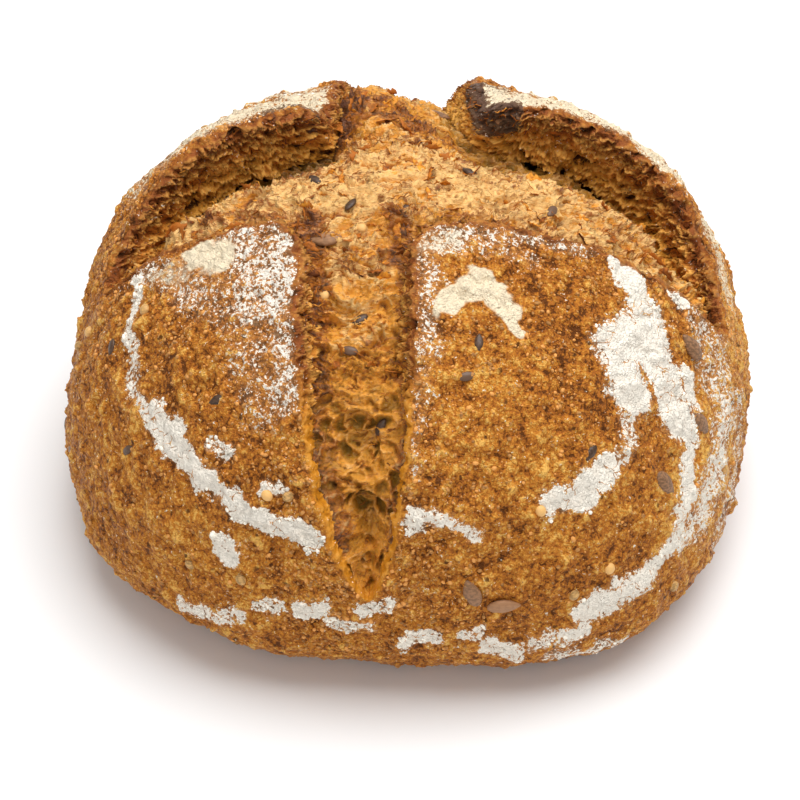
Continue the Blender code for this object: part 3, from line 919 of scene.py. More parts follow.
CREAM = (
    (((-37, -12.5), (-33.5, -15)), 3.0, 1.00),
    (((-46, -13), (-40, -15)), 2.2, 0.50),
    (((7.5, -30), (10, -26.5), (13, -23.5)), 2.1, 1.05),
    (((14, -25), (16.5, -27.5), (18.5, -29.5)), 2.0, 1.00),
    (((18.5, -29.5), (20.3, -33.5)), 1.2, 0.95),
    (((3, -18), (8, -17)), 2.8, 0.45),
)
# The tops of the rear flaps are floured all over
FLAP_FLOUR = (
    (((-18, 29), (-26, 25), (-38, 22)), 8.0, 0.80, 0.1),
    (((-20, 36), (-27, 43), (-23, 52)), 5.0, 0.66, 0.1),
    (((-38, 22), (-50, 18)), 6.0, 0.50, 0.0),
    (((12, 30), (24, 24), (34, 24), (48, 20)), 8.0, 0.86, 0.1),
    (((31, 32), (26, 42), (30, 52)), 5.0, 0.66, 0.1),
    (((48, 22), (58, 14), (66, 2)), 4.0, 0.66, 0.0),
    (((-44, 38), (-32, 52), (-18, 66)), 12.0, 0.44, 0.1),
    (((42, 40), (34, 56), (18, 70)), 12.0, 0.44, 0.1),
)
# Browning and painted light: places, half width in degrees, and how much darker than the rest; the negative
# strokes paint light on the left and right sides and the lower front
BROWNING_AND_PAINTED_LIGHT = (
    (((-20, -14), (-30, -30), (-22, -50)), 16.0, 0.10),
    (((-60, -60), (-75, -30), (-72, 0)), 16.0, -0.02),
    (((-30, -72), (-50, -64)), 10.0, -0.06),
    (((18, -20), (30, -22), (30, -40)), 9.0, 0.16),
    (((10, -45), (25, -55), (20, -72)), 12.0, -0.10),
    (((62, -50), (70, -30), (72, 0)), 10.0, -0.45),
    (((18, -80), (30, -76)), 6.0, 0.10),
)
CHARRED = (
    (((14, 38), (13, 30), (13, 25), (16, 21)), 5.0, 1.15),
    (((16, 21), (20, 19.5)), 2.8, 0.85),
    (((-20, 20), (-24, 18)), 2.4, 0.8),
)


def nearness(places, path, width):
    """1 on the path, falling smoothly to 0 between half the width and one and a half times it."""
    best = np.full(len(places), 1e9)
    for start, end in zip(path, path[1:]):
        start, end = np.array(start, float), np.array(end, float)
        run = end - start
        share = np.clip(((places - start) @ run) / max(run @ run, 1e-9), 0.0, 1.0)
        best = np.minimum(best, np.hypot(*(places - start - share[:, None] * run).T))
    return smoothstep(1.5 * width, 0.5 * width, best)


def laid(places, strokes):
    """Density and caking of the flour that these strokes lay at each place."""
    density, cake = np.zeros(len(places)), np.zeros(len(places))
    for path, width, strength, *caked in strokes:
        near = nearness(places, path, width)
        density = np.maximum(density, strength * near)
        cake = np.maximum(cake, (caked[0] if caked else 0.0) * near)
    return density, cake


def touched(places, strokes):
    total = np.zeros(len(places))
    for path, width, strength in strokes:
        total += strength * nearness(places, path, width)
    return total


def strayed(places, seed):
    """Places moved about by noise, so that no stroke keeps a smooth edge."""
    flat = np.column_stack([places, np.zeros(len(places))])
    shift = []
    for start in (seed, seed + 10):
        shift.append(1.5 * fractal(flat, 9.0, 2, start) + 0.8 * fractal(flat, 2.4, 2, start + 5))
    return places + np.stack(shift, axis=1)


# ---- Crust ----

QUARTERS = ("crust_front_right", "crust_rear_right", "crust_rear_left", "crust_front_left")
TORN_FACES = ("torn_front_right", "torn_rear_right", "torn_rear_left", "torn_front_left")
COLUMNS = 340  # of each quarter
TORN_COLUMNS = 760
TORN_ROWS = 56
BACKING = (0.60, 0.30, 0.12)  # rows of the crust behind the torn face, as shares of its depth
SET_BACK = 0.0012
LIP_ROWS = 5
SKIN_ROWS = 225
SET_OUT = 11.0
ROW_CROWDING = 1.15
TORN_CROWDING = 1.25
POLE_MERGE = 0.0003
OUTLINE_REACH = 95.0
CRUST_STRAY = 7
CRUMB_STRAY = 9


def crossing_outline():
    """The opening's edge as many places, in order, and which of them are the tips of its four arms."""
    bearings = np.linspace(0.0, 2.0 * math.pi, RAYS, endpoint=False)
    rays = np.stack([np.cos(bearings), np.sin(bearings)], axis=1)
    near = np.zeros(len(rays))
    for distance in np.arange(1.0, OUTLINE_REACH):
        within = opening(CROSSING + rays * distance) > 0
        near = np.where(within, distance, near)
    far = near + 1.0
    for _ in range(HALVINGS):
        half = (near + far) / 2
        within = opening(CROSSING + rays * half[:, None]) > 0
        near, far = np.where(within, half, near), np.where(within, far, half)
    edge = CROSSING + rays * near[:, None]
    tips = [int(np.argmin(edge[:, 1])), int(np.argmax(edge[:, 0]))]
    tips += [int(np.argmax(edge[:, 1])), int(np.argmin(edge[:, 0]))]
    return edge, tips


def across_tip(edge, index):
    """The direction into the opening at the tip of an arm."""
    along = edge[(index + 3) % len(edge)] - edge[index - 3]
    inward = np.array([-along[1], along[0]])
    return inward / np.linalg.norm(inward)


def quarter_edge(edge, start, end, columns):
    """Evenly spaced places of the edge from one tip to the next, and the way into the opening at each."""
    stretch = edge[start : end + 1] if end > start else np.vstack([edge[start:], edge[: end + 1]])
    reach = np.concatenate([[0.0], np.cumsum(np.hypot(*np.diff(stretch, axis=0).T))])
    stations = np.linspace(0.0, reach[-1], columns + 1)
    places = np.stack([np.interp(stations, reach, stretch[:, i]) for i in (0, 1)], axis=1)
    tangent = np.gradient(places, axis=0)
    inward = np.stack([-tangent[:, 1], tangent[:, 0]], axis=1)
    inward[0], inward[-1] = across_tip(edge, start), across_tip(edge, end)
    return places, inward / np.linalg.norm(inward, axis=1)[:, None]


def flat_points(places):
    """Places on the map as flat points in metres."""
    return np.column_stack([places * DEGREE, np.zeros(len(places))])


def skin_relief(points):
    """Height of the skin's own relief, how much of a knob each place is on, and its fine unevenness."""
    settings = bpy.context.scene.loaf_crust
    fine = fractal(points, 0.0048, 3, 15)
    folds = crests(points, (0.011, 0.011, 0.016), 2, 25)
    first, _, number = packed(points + 0.0012 * fine[:, None], 0.0050, 55)
    knob = smoothstep(0.50, 0.05, first) * smoothstep(0.42, 0.85, number)
    height = fractal(points, 0.022, 3, 5) * settings.lumps + fine * settings.bumps
    height += (folds - 0.4) * settings.bumps * 1.6 + knob * settings.knobs
    middle, _, number = packed(points, 0.0019, 35)
    height += settings.grains * (0.5 + number) * (1.0 - 2.4 * middle**2)
    return height, knob, fine


def torn_relief(points, ear):
    """How far the torn face comes forward, and how much of a crest each place is on."""
    settings = bpy.context.scene.loaf_crust
    bent = points + 0.0017 * np.stack([fractal(points, 0.006, 3, 50 + 10 * i) for i in range(3)], axis=1)
    stack = 4.5 * fractal(bent, (0.013, 0.013, 0.0048), 2, 70)
    ledge = stack - np.floor(stack)
    layers = crests(bent, (0.0100, 0.0100, 0.0036), 2, 80)
    crumbs = crests(bent, (0.0044, 0.0044, 0.0019), 3, 84)
    _, wall, number = packed(bent, (0.0058, 0.0058, 0.0036), 90)
    cave = smoothstep(0.04, 0.45, wall) * smoothstep(0.50, 0.80, number)
    forward = (0.8 * (layers - 0.4) + 0.9 * (crumbs - 0.35) + 0.45 * (ledge - 0.5)) * settings.tatters
    forward = forward * (1.0 + 0.5 * ear) - cave * settings.caves * (0.5 + 0.5 * ear)
    # crest is lowest in the torn bubbles, which the colour darkens as painted shade
    crest = 0.22 + 0.30 * layers + 0.55 * crumbs + 0.35 * (ledge - 0.5) - 0.75 * cave
    return forward, np.clip(crest, 0.0, 1.0)


class Lip:
    """The lip of one quarter: where it runs, which way the opening lies, and how much room is before it."""

    def __init__(self, edge, start, end, columns):
        settings = bpy.context.scene.loaf_crust
        self.places, self.inward = quarter_edge(edge, start, end, columns)
        self.ear = ear_share(self.places, self.inward)
        self.space = room(self.places, self.inward)
        flat = flat_points(self.places)
        wander = fractal(flat, 0.010, 3, 3) + 0.9 * fractal(flat, 0.0030, 3, 8)
        wander = wander * settings.raggedness / DEGREE * self.space
        self.ragged = self.places + self.inward * wander[:, None]
        self.normal = dome_normals(self.ragged)
        lift = lip_lift(np.zeros(len(self.ragged)), self.ear)
        self.line = on_dome(self.ragged) + self.normal * lift[:, None]
        into = on_dome(self.ragged + self.inward) - on_dome(self.ragged - self.inward)
        self.into = into / np.linalg.norm(into, axis=1)[:, None]

    def ring(self, share):
        """The torn face, before its relief, at a share of its depth."""
        slope = TORN_SLOPE * (1.0 - 0.7 * self.freshness())
        lean = ((slope * (1 - self.ear) - EAR_UNDERCUT * self.ear) * self.space)[:, None]
        depth = (TORN_DEPTH * (0.8 + 0.2 * self.space))[:, None]
        down = self.normal * (LIP_EDGE + (depth - LIP_EDGE) * share)
        out = self.space[:, None] * LIP_EDGE * (1.0 - share)
        return self.line - down + self.into * (lean * min(1.0, share * 1.8) + out)

    def freshness(self):
        """1 on the smooth banks of the lower groove, 0 elsewhere."""
        return smoothstep(-38.0, -52.0, self.places[:, 1]) * (np.abs(self.places[:, 0] + 9.0) < 20.0)


def make_torn(name, lip, material):
    """The torn face of one quarter, from deep in the crumb up to under the edge of the crust."""
    fresh = lip.freshness()
    rings, deep, crest = [], [], []
    for row in range(TORN_ROWS + 1):
        share = (1.0 - row / TORN_ROWS) ** TORN_CROWDING
        ring = lip.ring(share)
        forward, crested = torn_relief(ring, lip.ear)
        forward = forward * lip.space * (1.0 - 0.7 * fresh)
        rings.append(ring + lip.into * forward[:, None])
        deep.append(0.12 + 1.35 * share / (1.0 + 0.5 * lip.ear))
        crest.append(crested + (0.55 - crested) * 0.5 * fresh)
    tucked = lip.into * lip.space[:, None] * LIP_EDGE * 0.2 - lip.normal * LIP_EDGE * 0.8
    rings.append(lip.line + tucked)
    deep.append(deep[-1])
    crest.append(crest[-1])
    mesh, column, row = grid_mesh(name, TORN_COLUMNS, len(rings) - 1)
    move_vertices(mesh, np.stack(rings)[row, column])
    paint(
        mesh,
        torn=np.ones(len(mesh.vertices)),
        depth=np.stack(deep)[row, column],
        crest=np.stack(crest)[row, column],
        fresh=fresh[column],
        char=touched(strayed(lip.ragged, CRUST_STRAY), CHARRED)[column],
    )
    piece(name, mesh, material)


def lip_rows(lip):
    """Rows behind the torn face and round the lip: points, how torn they are, their depth and crests."""
    edge_line = lip.into * lip.space[:, None] * LIP_EDGE
    fresh = lip.freshness()
    rings, torn, deep, crest = [], [], [], []
    for share in BACKING:
        rings.append(lip.ring(share) - lip.into * (SET_BACK * (0.4 + 0.6 * lip.space))[:, None])
        torn.append(np.full(len(fresh), 1.0))
        deep.append(np.full(len(fresh), share))
        crest.append(np.full(len(fresh), 0.3))
    for row in range(LIP_ROWS):
        turn = math.pi / 2 * row / LIP_ROWS
        ring = lip.line + edge_line * math.cos(turn) - lip.normal * LIP_EDGE * (1.0 - math.sin(turn))
        forward, crested = torn_relief(ring, lip.ear)
        forward = forward * 0.8 * lip.space * math.cos(turn) * (1.0 - 0.7 * fresh)
        rings.append(ring + lip.into * forward[:, None])
        torn.append(np.full(len(fresh), 0.35 + 0.65 * math.cos(turn)))
        deep.append(np.full(len(fresh), 0.12 * math.cos(turn)))
        crest.append(crested)
    return rings, torn, deep, crest


def skin_rows(lip, first, last):
    """Rows from the lip to the middle of the underside: points, places on the map, distance from the lip."""
    bearing = np.linspace(first, last + (2 * math.pi if last < first else 0.0), COLUMNS + 1)
    spokes = np.stack([np.cos(bearing), np.sin(bearing)], axis=1)
    rim = FULLEST_ANGLE * spokes
    begun = on_dome(lip.ragged)
    square = lip.ragged - lip.inward * SET_OUT
    rings, grounds, from_lip = [], [], []
    for row in range(SKIN_ROWS):
        share = (row / (SKIN_ROWS - 1)) ** ROW_CROWDING
        ground = lip.ragged * (1 - share) ** 2 + square * 2 * share * (1 - share) + rim * share**2
        points = on_dome(ground)
        distance = np.linalg.norm(points - begun, axis=1)
        rings.append(points + dome_normals(ground) * lip_lift(distance, lip.ear)[:, None])
        grounds.append(ground)
        from_lip.append(distance)
    for angle in UNDERSIDE_ANGLES:
        rings.append(on_dome(spokes * angle))
        grounds.append(spokes * angle)
        from_lip.append(np.full(len(spokes), 1.0))
    return rings, grounds, from_lip


def make_quarter(name, edge, start, end, material):
    """One quarter of the crust, from behind its torn face over the lip and down to the underside."""
    lip = Lip(edge, start, end, COLUMNS)
    fresh = lip.freshness()
    rings, torn, deep, crest = lip_rows(lip)
    first, last = (math.atan2(edge[tip, 1], edge[tip, 0]) for tip in (start, end))
    skin, grounds, from_lip = skin_rows(lip, first, last)
    plain = np.zeros(len(fresh))
    mesh, column, row = grid_mesh(name, COLUMNS, len(rings) + len(skin) - 1)
    points = np.stack(rings + skin)[row, column]
    ground = np.stack([lip.ragged] * len(rings) + grounds)[row, column]
    distance = np.stack([plain] * len(rings) + from_lip)[row, column]
    on_skin = row >= len(rings)
    astray = strayed(ground, CRUST_STRAY)
    density, cake = laid(astray, DUSTING + CAKED)
    flap, flap_cake = laid(astray, FLAP_FLOUR)
    cream, _ = laid(astray, CREAM)
    cake = np.maximum(cake, flap_cake)
    relief, knob, fine = skin_relief(points)
    first_cell, _, number = packed(points, 0.0040, 95)
    puffs = 0.5 + 1.1 * number - 1.6 * first_cell**2
    relief += bpy.context.scene.loaf_flour.thickness * np.maximum(cake * puffs, 0.5 * cream)
    loose = np.clip(points[:, 2] / 0.004, 0.0, 1.0) * on_skin
    points = points + dome_normals(ground) * (relief * loose)[:, None]
    points[:, 2] = np.maximum(points[:, 2], 0.0)
    move_vertices(mesh, points)
    rim_width = 0.0008 * (1.0 + 0.9 * fractal(points, 0.003, 2, 65))
    ragged_rim = np.exp(-((distance / rim_width) ** 2)) * (1.0 - 0.6 * fresh[column])
    near_rim = np.exp(-((distance / 0.0026) ** 2)) * (1.0 - 1.4 * fresh[column])
    # tan: browning, darker near the lip and within 6 mm of the floor, with painted light from the negative
    # strokes
    tan = 0.42 + touched(astray, BROWNING_AND_PAINTED_LIGHT) + 0.28 * near_rim
    paint(
        mesh,
        torn=np.where(on_skin, 0.45 * ragged_rim, np.stack(torn + [plain] * len(skin))[row, column]),
        depth=np.stack(deep + [plain] * len(skin))[row, column],
        crest=np.stack(crest + [0.7 * crest[-1]] * len(skin))[row, column],
        fresh=fresh[column],
        flour=np.maximum(density, flap) * on_skin * (1.0 - 0.4 * ragged_rim),
        cake=cake,
        cream=cream * on_skin,
        yellow=smoothstep(0.2, 0.6, flap),
        char=touched(astray, CHARRED),
        knob=knob,
        # rise: the fine relief, kept for painted shade in its valleys and painted light on its rises
        rise=fine,
        tan=tan + 0.15 * smoothstep(0.006, 0.0, points[:, 2]),
    )
    close_pole(mesh)
    piece(name, mesh, material)


def close_pole(mesh):
    """Merges the vertices that meet in the middle of the underside."""
    bm = bmesh.new()
    bm.from_mesh(mesh)
    on_floor = [v for v in bm.verts if v.co.z < 1e-5]
    middle = [v for v in on_floor if math.hypot(v.co.x - CENTRE[0], v.co.y - CENTRE[1]) < 2 * POLE_MERGE]
    bmesh.ops.remove_doubles(bm, verts=middle, dist=POLE_MERGE)
    bmesh.ops.recalc_face_normals(bm, faces=bm.faces)
    bm.to_mesh(mesh)
    bm.free()


class LOAF_OT_crust(bpy.types.Operator):
    """Makes the crust in four quarters, each with its torn face, its lip and its share of the underside"""

    bl_idname = "loaf.crust"
    bl_label = "Crust"

    def execute(self, context):
        material = crust_material()
        edge, tips = crossing_outline()
        for name, face, start, end in zip(QUARTERS, TORN_FACES, tips, tips[1:] + tips[:1]):
            make_quarter(name, edge, start, end, material)
            make_torn(face, Lip(edge, start, end, TORN_COLUMNS), material)
        return {"FINISHED"}


# ---- Crumb ----

CRUMB_CELL = 0.21  # degrees
CRUMB_REACH = 90.0
CRUMB_OVERLAP = 4.6  # degrees that the crumb goes under the crust
CRUMB_PIECES = ("crumb_front", "crumb_left", "crumb_right")
CRUMB_SPLIT = -14.0  # the front arm's crumb is a piece of its own, up to this place on the map
CRUMB_PARTING = -4.0  # the rest is parted here into left and right
BANK_TOP = 0.0027
BANK_SLOPE = 0.8
CRUMB_MARGIN = 0.6  # degrees laid beyond each parting, so that the shading runs on across it
# Toasted parts of the crumb: path, half width in degrees, strength
TOASTED = (
    (((-38, -2), (-26, -6), (-18, -8)), 2.2, 0.45),
    (((-30, 6), (-20, 3), (-12, 4)), 1.8, 0.35),
    (((-17, -10), (-17, -20), (-18, -30), (-17.5, -48), (-15, -70)), 2.4, 0.70),
    (((-3, -10), (0, -22), (1, -34), (1, -52), (-2, -70)), 2.4, 0.80),
    (((-16, -17), (-9, -20), (-3, -18)), 1.6, 0.30),
    (((8, -10), (20, -12), (34, -12), (46, -14)), 2.0, 0.45),
    (((-23, 17), (-17, 24), (-14, 30)), 5.0, 0.85),
    (((-14, 26), (-4, 27), (5, 24), (11, 24)), 3.6, 0.60),
    (((-10, 12), (0, 14), (6, 11)), 1.4, 0.30),
    (((2, 16), (12, 14), (20, 12)), 1.8, 0.40),
)
# Paler parts of the crumb: path, half width in degrees, strength; the pale bloom, with painted highlight on
# the crown and arms
PALE_BLOOM_AND_PAINTED_LIGHT = (
    (((-14, 6), (-6, 2), (4, 4), (14, 6)), 12.0, 0.55),
    (((-44, -2), (-30, -4), (-16, -4)), 8.0, 0.78),
    (((14, 0), (28, -4), (44, -10)), 9.0, 0.55),
    (((-10, -18), (-8, -30)), 5.0, 0.35),
)


def openness(places):
    """How open the crumb's texture is: 1 in the lower groove and in the hollows under the rear flaps."""
    low = smoothstep(-40.0, -52.0, places[:, 1]) * (np.abs(places[:, 0] + 9) < 14)
    hollow = smoothstep(0.004, 0.009, crumb_sink(places) - CRUMB_SINK)
    return np.clip(0.22 + low + hollow * smoothstep(-14.0, -10.0, places[:, 1]), 0.0, 1.0)


def dressed_sink(places):
    """Depth of the crumb under the uncut skin, where it also climbs up the banks of the lower groove."""
    bank = BANK_TOP + BANK_SLOPE * np.maximum(opening(places), 0.0) * DEGREE
    sink = crumb_sink(places)
    return sink - smoothstep(-38.0, -50.0, places[:, 1]) * np.maximum(sink - bank, 0.0)


def crumb_relief(places, points):
    """Height of the crumb's relief, and how much of a crest, hollow, edge, crevice or film each place is;
    hollow and crevice mark painted shade.
    """
    settings = bpy.context.scene.loaf_crumb
    bent = points + 0.0032 * np.stack([fractal(points, 0.011, 2, 100 + 10 * i) for i in range(3)], axis=1)
    bent += 0.0007 * np.stack([fractal(points, 0.0026, 2, 105 + 10 * i) for i in range(3)], axis=1)
    rough = smoothstep(-0.4, 0.5, fractal(points, 0.013, 2, 130))
    wide = openness(places)
    broad = crests(bent, (0.015, 0.0058, 0.0058), 2, 140)
    strand = crests(bent, (0.0080, 0.0022, 0.0022), 3, 150)
    fibre = crests(bent, (0.0050, 0.0012, 0.0012), 2, 160)
    stack = 3.4 * fractal(bent, (0.018, 0.0066, 0.0066), 2, 190)
    layer = stack - np.floor(stack)
    _, wall, number = packed(bent, (0.0066, 0.0052, 0.0052), 170)
    bubble = smoothstep(0.02, 0.50, wall) * smoothstep(-0.3, 0.7, number)
    ragged = (0.35 + 0.65 * rough) * (1.0 - 0.7 * wide)
    height = settings.ridges * (broad - 0.5) * (1.0 - 0.5 * wide)
    height += settings.strands * (strand - 0.45) * ragged
    height += settings.layers * (layer - 0.5) * ragged
    height += settings.fibres * (fibre - 0.4) * (1.0 - 0.5 * wide)
    height -= settings.cells * (bubble - 0.3) * wide
    small, _, lot = packed(points, 0.0031, 180)
    pinhole = smoothstep(0.34, 0.16, small) * (lot > 0.70)
    height -= 0.0012 * pinhole
    crest = 0.45 * strand + 0.25 * broad + 0.30 * fibre
    tips = 0.6 * smoothstep(0.70, 0.97, layer) + 0.5 * smoothstep(0.50, 0.90, strand)
    edge = ragged * tips + 0.2 * fibre
    # under: painted shade under the edges of the layers and in the pinholes
    under = 0.5 * smoothstep(0.13, 0.02, layer) * ragged + 0.8 * pinhole
    membrane = smoothstep(0.10, 0.02, wall) * wide
    # painted shade inside the bubbles of the open crumb
    hollow = bubble * wide
    return height, {"crest": crest, "hollow": hollow, "edge": edge, "under": under, "membrane": membrane}


def trimmed(mesh, wanted):
    """Leaves only the wanted vertices in the mesh."""
    bm = bmesh.new()
    bm.from_mesh(mesh)
    spare = [v for v, kept in zip(bm.verts, wanted) if not kept]
    bmesh.ops.delete(bm, geom=spare, context="VERTS")
    bm.to_mesh(mesh)
    bm.free()


def in_piece(name, places, margin):
    """Which places belong to a piece of the crumb or lie within a margin beyond it."""
    if name == "crumb_front":
        return places[:, 1] < CRUMB_SPLIT + margin
    side = -1.0 if name == "crumb_left" else 1.0
    return (places[:, 1] > CRUMB_SPLIT - margin) & ((places[:, 0] - CRUMB_PARTING) * side > -margin)


def make_crumb(name, material):
    """Lays a fine grid over the opening, keeps the piece's part, and bends it to the crumb's surface."""
    cells = round(2 * CRUMB_REACH / CRUMB_CELL)
    mesh, _, _ = grid_mesh(name, cells, cells)
    places = coordinates(mesh)[:, :2] * CRUMB_REACH
    wanted = in_piece(name, places, CRUMB_MARGIN)
    wanted[wanted] = opening(places[wanted]) > -CRUMB_OVERLAP
    trimmed(mesh, wanted)
    places = places[wanted]
    sink = dressed_sink(places)
    points = on_dome(places, sink)
    height, marks = crumb_relief(places, points)
    move_vertices(mesh, points + dome_normals(places) * height[:, None])
    inside = opening(places)
    # painted shade in the deep hollows under the rear flaps
    marks["hollow"] = marks["hollow"] + 0.5 * smoothstep(0.0085, 0.013, sink)
    astray = strayed(places, CRUMB_STRAY)
    marks["toast"] = touched(astray, TOASTED) + 0.45 * smoothstep(3.0, 0.0, inside)
    # bloom: paler on the strokes, with painted highlight, and painted shade darkening the lower groove
    marks["bloom"] = touched(astray, PALE_BLOOM_AND_PAINTED_LIGHT) - 0.60 * smoothstep(-20.0, -50.0, places[:, 1])
    marks["inside"] = inside
    marks["wide"] = openness(places)
    outward = normals_of(mesh)
    final = in_piece(name, places, CRUMB_CELL / 2)
    trimmed(mesh, final)
    paint(mesh, **{mark: each[final] for mark, each in marks.items()})
    piece(name, mesh, material)
    mesh.normals_split_custom_set_from_vertices(outward[final])


class LOAF_OT_crumb(bpy.types.Operator):
    """Makes the torn crumb that has swelled up in the crossed opening"""

    bl_idname = "loaf.crumb"
    bl_label = "Crumb"

    def execute(self, context):
        material = crumb_material()

        for name in CRUMB_PIECES:
            make_crumb(name, material)
        return {"FINISHED"}


# ---- Threads and flakes ----

SHRED_DRAW = 23
THREAD_STEPS = 9
TEMPLATES = 5


def thread_template(draw, thickness):
    """A crooked thread one unit long, along X: it leaves the surface, wanders, and comes back to it."""
    bm = bmesh.new()
    radius = thickness / 2
    turn = Matrix.Rotation(math.pi / 2, 4, "Y")
    bmesh.ops.create_cone(
        bm, cap_ends=True, cap_tris=True, segments=3, radius1=radius, radius2=radius, depth=1.0, matrix=turn
    )
    long_edges = [e for e in bm.edges if abs(e.verts[0].co.x - e.verts[1].co.x) > 0.5]
    bmesh.ops.subdivide_edges(bm, edges=long_edges, cuts=THREAD_STEPS)
    phase = draw.uniform(0.0, 6.0, 4)
    for vert in bm.verts:
        x = vert.co.x
        slim = 1.0 - (2.0 * abs(x)) ** 3 * 0.8
        side = 0.10 * math.sin(5.0 * x + phase[0]) + 0.05 * math.sin(13.0 * x + phase[1])
        rise = 0.10 * (1.0 - (2.0 * x) ** 2) + 0.03 * math.sin(11.0 * x + phase[2])
        vert.co = (x, vert.co.y * slim * 1.7 + side, vert.co.z * slim + rise - 0.03)
    return triangulated(bm)


def flake_template(draw):
    """A thin ragged flake, one unit long, that curls up from its root."""
    bm = bmesh.new()
    bmesh.ops.create_cube(bm, size=1.0)
    bmesh.ops.subdivide_edges(bm, edges=bm.edges[:], cuts=2, use_grid_fill=True)
    phase = draw.uniform(0.0, 6.0, 4)
    for vert in bm.verts:
        x, y, z = vert.co.x, vert.co.y + 0.5, vert.co.z
        ragged = 1.0 + 0.28 * math.sin(9.0 * x + phase[0]) * y
        width = (1.0 - 0.55 * y) * (1.0 + 0.25 * math.sin(7.0 * y + phase[1]))
        curl = 0.30 * y * y + 0.25 * x * x + 0.06 * math.sin(6.0 * x + phase[2])
        vert.co = (x * width, y * ragged, 0.13 * z * (1.1 - 0.7 * y) + curl)
    return triangulated(bm)


class LOAF_OT_shreds(bpy.types.Operator):
    """Scatters torn threads and flakes over the crumb and along the torn faces of the crust"""

    bl_idname = "loaf.shreds"
    bl_label = "Threads and flakes"

    def execute(self, context):
        settings = context.scene.loaf_shreds
        draw = np.random.default_rng(SHRED_DRAW)
        material = shred_material()

        def in_sight(mesh):
            inside = painted(mesh, "inside")
            return smoothstep(-0.5, 0.5, inside) * (0.35 + painted(mesh, "toast") + painted(mesh, "crest"))

        def raised(mesh):
            return in_sight(mesh) * smoothstep(0.6, 0.3, painted(mesh, "wide"))

        def near_lip(mesh):
            depth, fresh = painted(mesh, "depth"), painted(mesh, "fresh")
            return smoothstep(0.85, 0.05, depth) * smoothstep(0.6, 0.1, fresh)

        def lengthwise(_):
            return (1.0, draw.normal(0.0, 0.45), draw.normal(0.0, 0.3))

        def level(normal):
            return np.cross(normal, (draw.normal(0.0, 0.35), draw.normal(0.0, 0.35), 1.0))

        # Each kind of thread: what it lies on, how many, how thick and how long, which way, and how toasted
        kinds = (
            ("crumb", CRUMB_PIECES, in_sight, settings.threads, 0.060, 1.3, lengthwise, (0.35, 0.25)),
            ("crust", TORN_FACES, near_lip, settings.wall_threads, 0.095, 1.2, level, (0.55, 0.28)),
        )
        for slot, names, weight, number, thickness, longest, run, warmth in kinds:
            threads = [thread_template(draw, thickness) for _ in range(TEMPLATES)]
            frames = []
            for point, normal in zip(*spots_on(names, draw, number, weight)):
                reach = settings.length * draw.uniform(0.4, longest)
                along = run(normal)
                size = (reach, reach * 0.9, reach * draw.uniform(0.5, 1.3))
                frames.append(lying(point, normal, along, size))
            tone = np.clip(draw.normal(*warmth, len(frames)), 0.0, 1.0)
            scattered(slot + "_threads", threads, frames, material, slot, tone=tone)

        flakes = [flake_template(draw) for _ in range(TEMPLATES)]
        frames = []
        for point, normal in zip(*spots_on(CRUMB_PIECES, draw, settings.flakes, raised)):
            reach = settings.flake * draw.uniform(0.5, 1.5)
            turn = draw.choice([0.0, math.pi]) + draw.normal(0.0, 0.6)
            size = (reach * draw.uniform(1.8, 4.0), reach, reach)
            frames.append(standing(point - normal * 0.0003, normal, turn, draw.uniform(0.2, 1.0), size))
        tone = np.clip(draw.normal(0.40, 0.25, len(frames)), 0.0, 1.0)
        scattered("crumb_flakes", flakes, frames, material, "crumb", tone=tone)
        return {"FINISHED"}


# ---- Seeds, grit and clumps of flour ----

SEEDS = (
    {
        "name": "sunflower",
        "size": (0.0095, 0.0052, 0.0026),
        "placed": ((-15, -14), (18, 23), (15, -78), (23, -80), (53, -49), (60, -34), (55, -22), (39, -24)),
        "scattered": 5,
    },
    {
        "name": "linseed",
        "size": (0.0052, 0.0027, 0.0014),
        "placed": (
            (0, -7), (-17, 1), (12, 3), (27, -5), (-9, -31), (-11, -37), (-5, -51), (13, -36), (11, -42),
        ),
        "scattered": 20,
    },
    {
        "name": "millet",
        "size": (0.0034, 0.0030, 0.0024),
        "placed": ((-37, -72), (-49, -66), (-23, -60), (-27, -59), (44, -67), (38, -74), (-49, -18)),
        "scattered": 18,
    },
)
SEED_DRAW = 7
SEED_GAP = 0.008
SEED_CLEARANCE = 4.0
SEED_PROUD = 0.05  # share of its thickness by which a seed's middle stands above the surface
GRIT_DRAW = 31
GRIT_RANGE = 0.0010
GRIT_LOWEST = 0.003


def seed_places():
    """Kind and place on the map of every seed, as in the part."""
    draw = np.random.default_rng(SEED_DRAW)
    taken = []
    for kind in SEEDS:
        wanted = len(kind["placed"]) + kind["scattered"]
        mine = [(kind, np.array([place], float)) for place in kind["placed"]]
        while len(mine) < wanted:
            angle = math.degrees(math.acos(draw.uniform(-0.05, 1.0)))
            bearing = draw.uniform(0.0, 2.0 * math.pi)
            place = np.array([[angle * math.cos(bearing), angle * math.sin(bearing)]])
            point = on_dome(place)
            clear = all(np.linalg.norm(point - on_dome(other)) > SEED_GAP for _, other in taken + mine)
            if clear and abs(opening(place)[0]) > SEED_CLEARANCE:
                mine.append((kind, place))
        taken += mine
    return taken


def seed_template(name):
    """A seed one unit long, wide and thick: linseeds and kernels taper to one end."""
    bm = bmesh.new()
    bmesh.ops.create_uvsphere(bm, u_segments=14, v_segments=9, radius=0.5)
    taper = {"linseed": 0.38, "sunflower": 0.62, "millet": 0.10}[name]
    for vert in bm.verts:
        narrow = 1.0 - taper * max(0.0, vert.co.x + 0.1) ** 1.5 * 2.0
        vert.co.y *= narrow
        vert.co.z *= 0.6 + 0.4 * narrow
    return triangulated(bm)


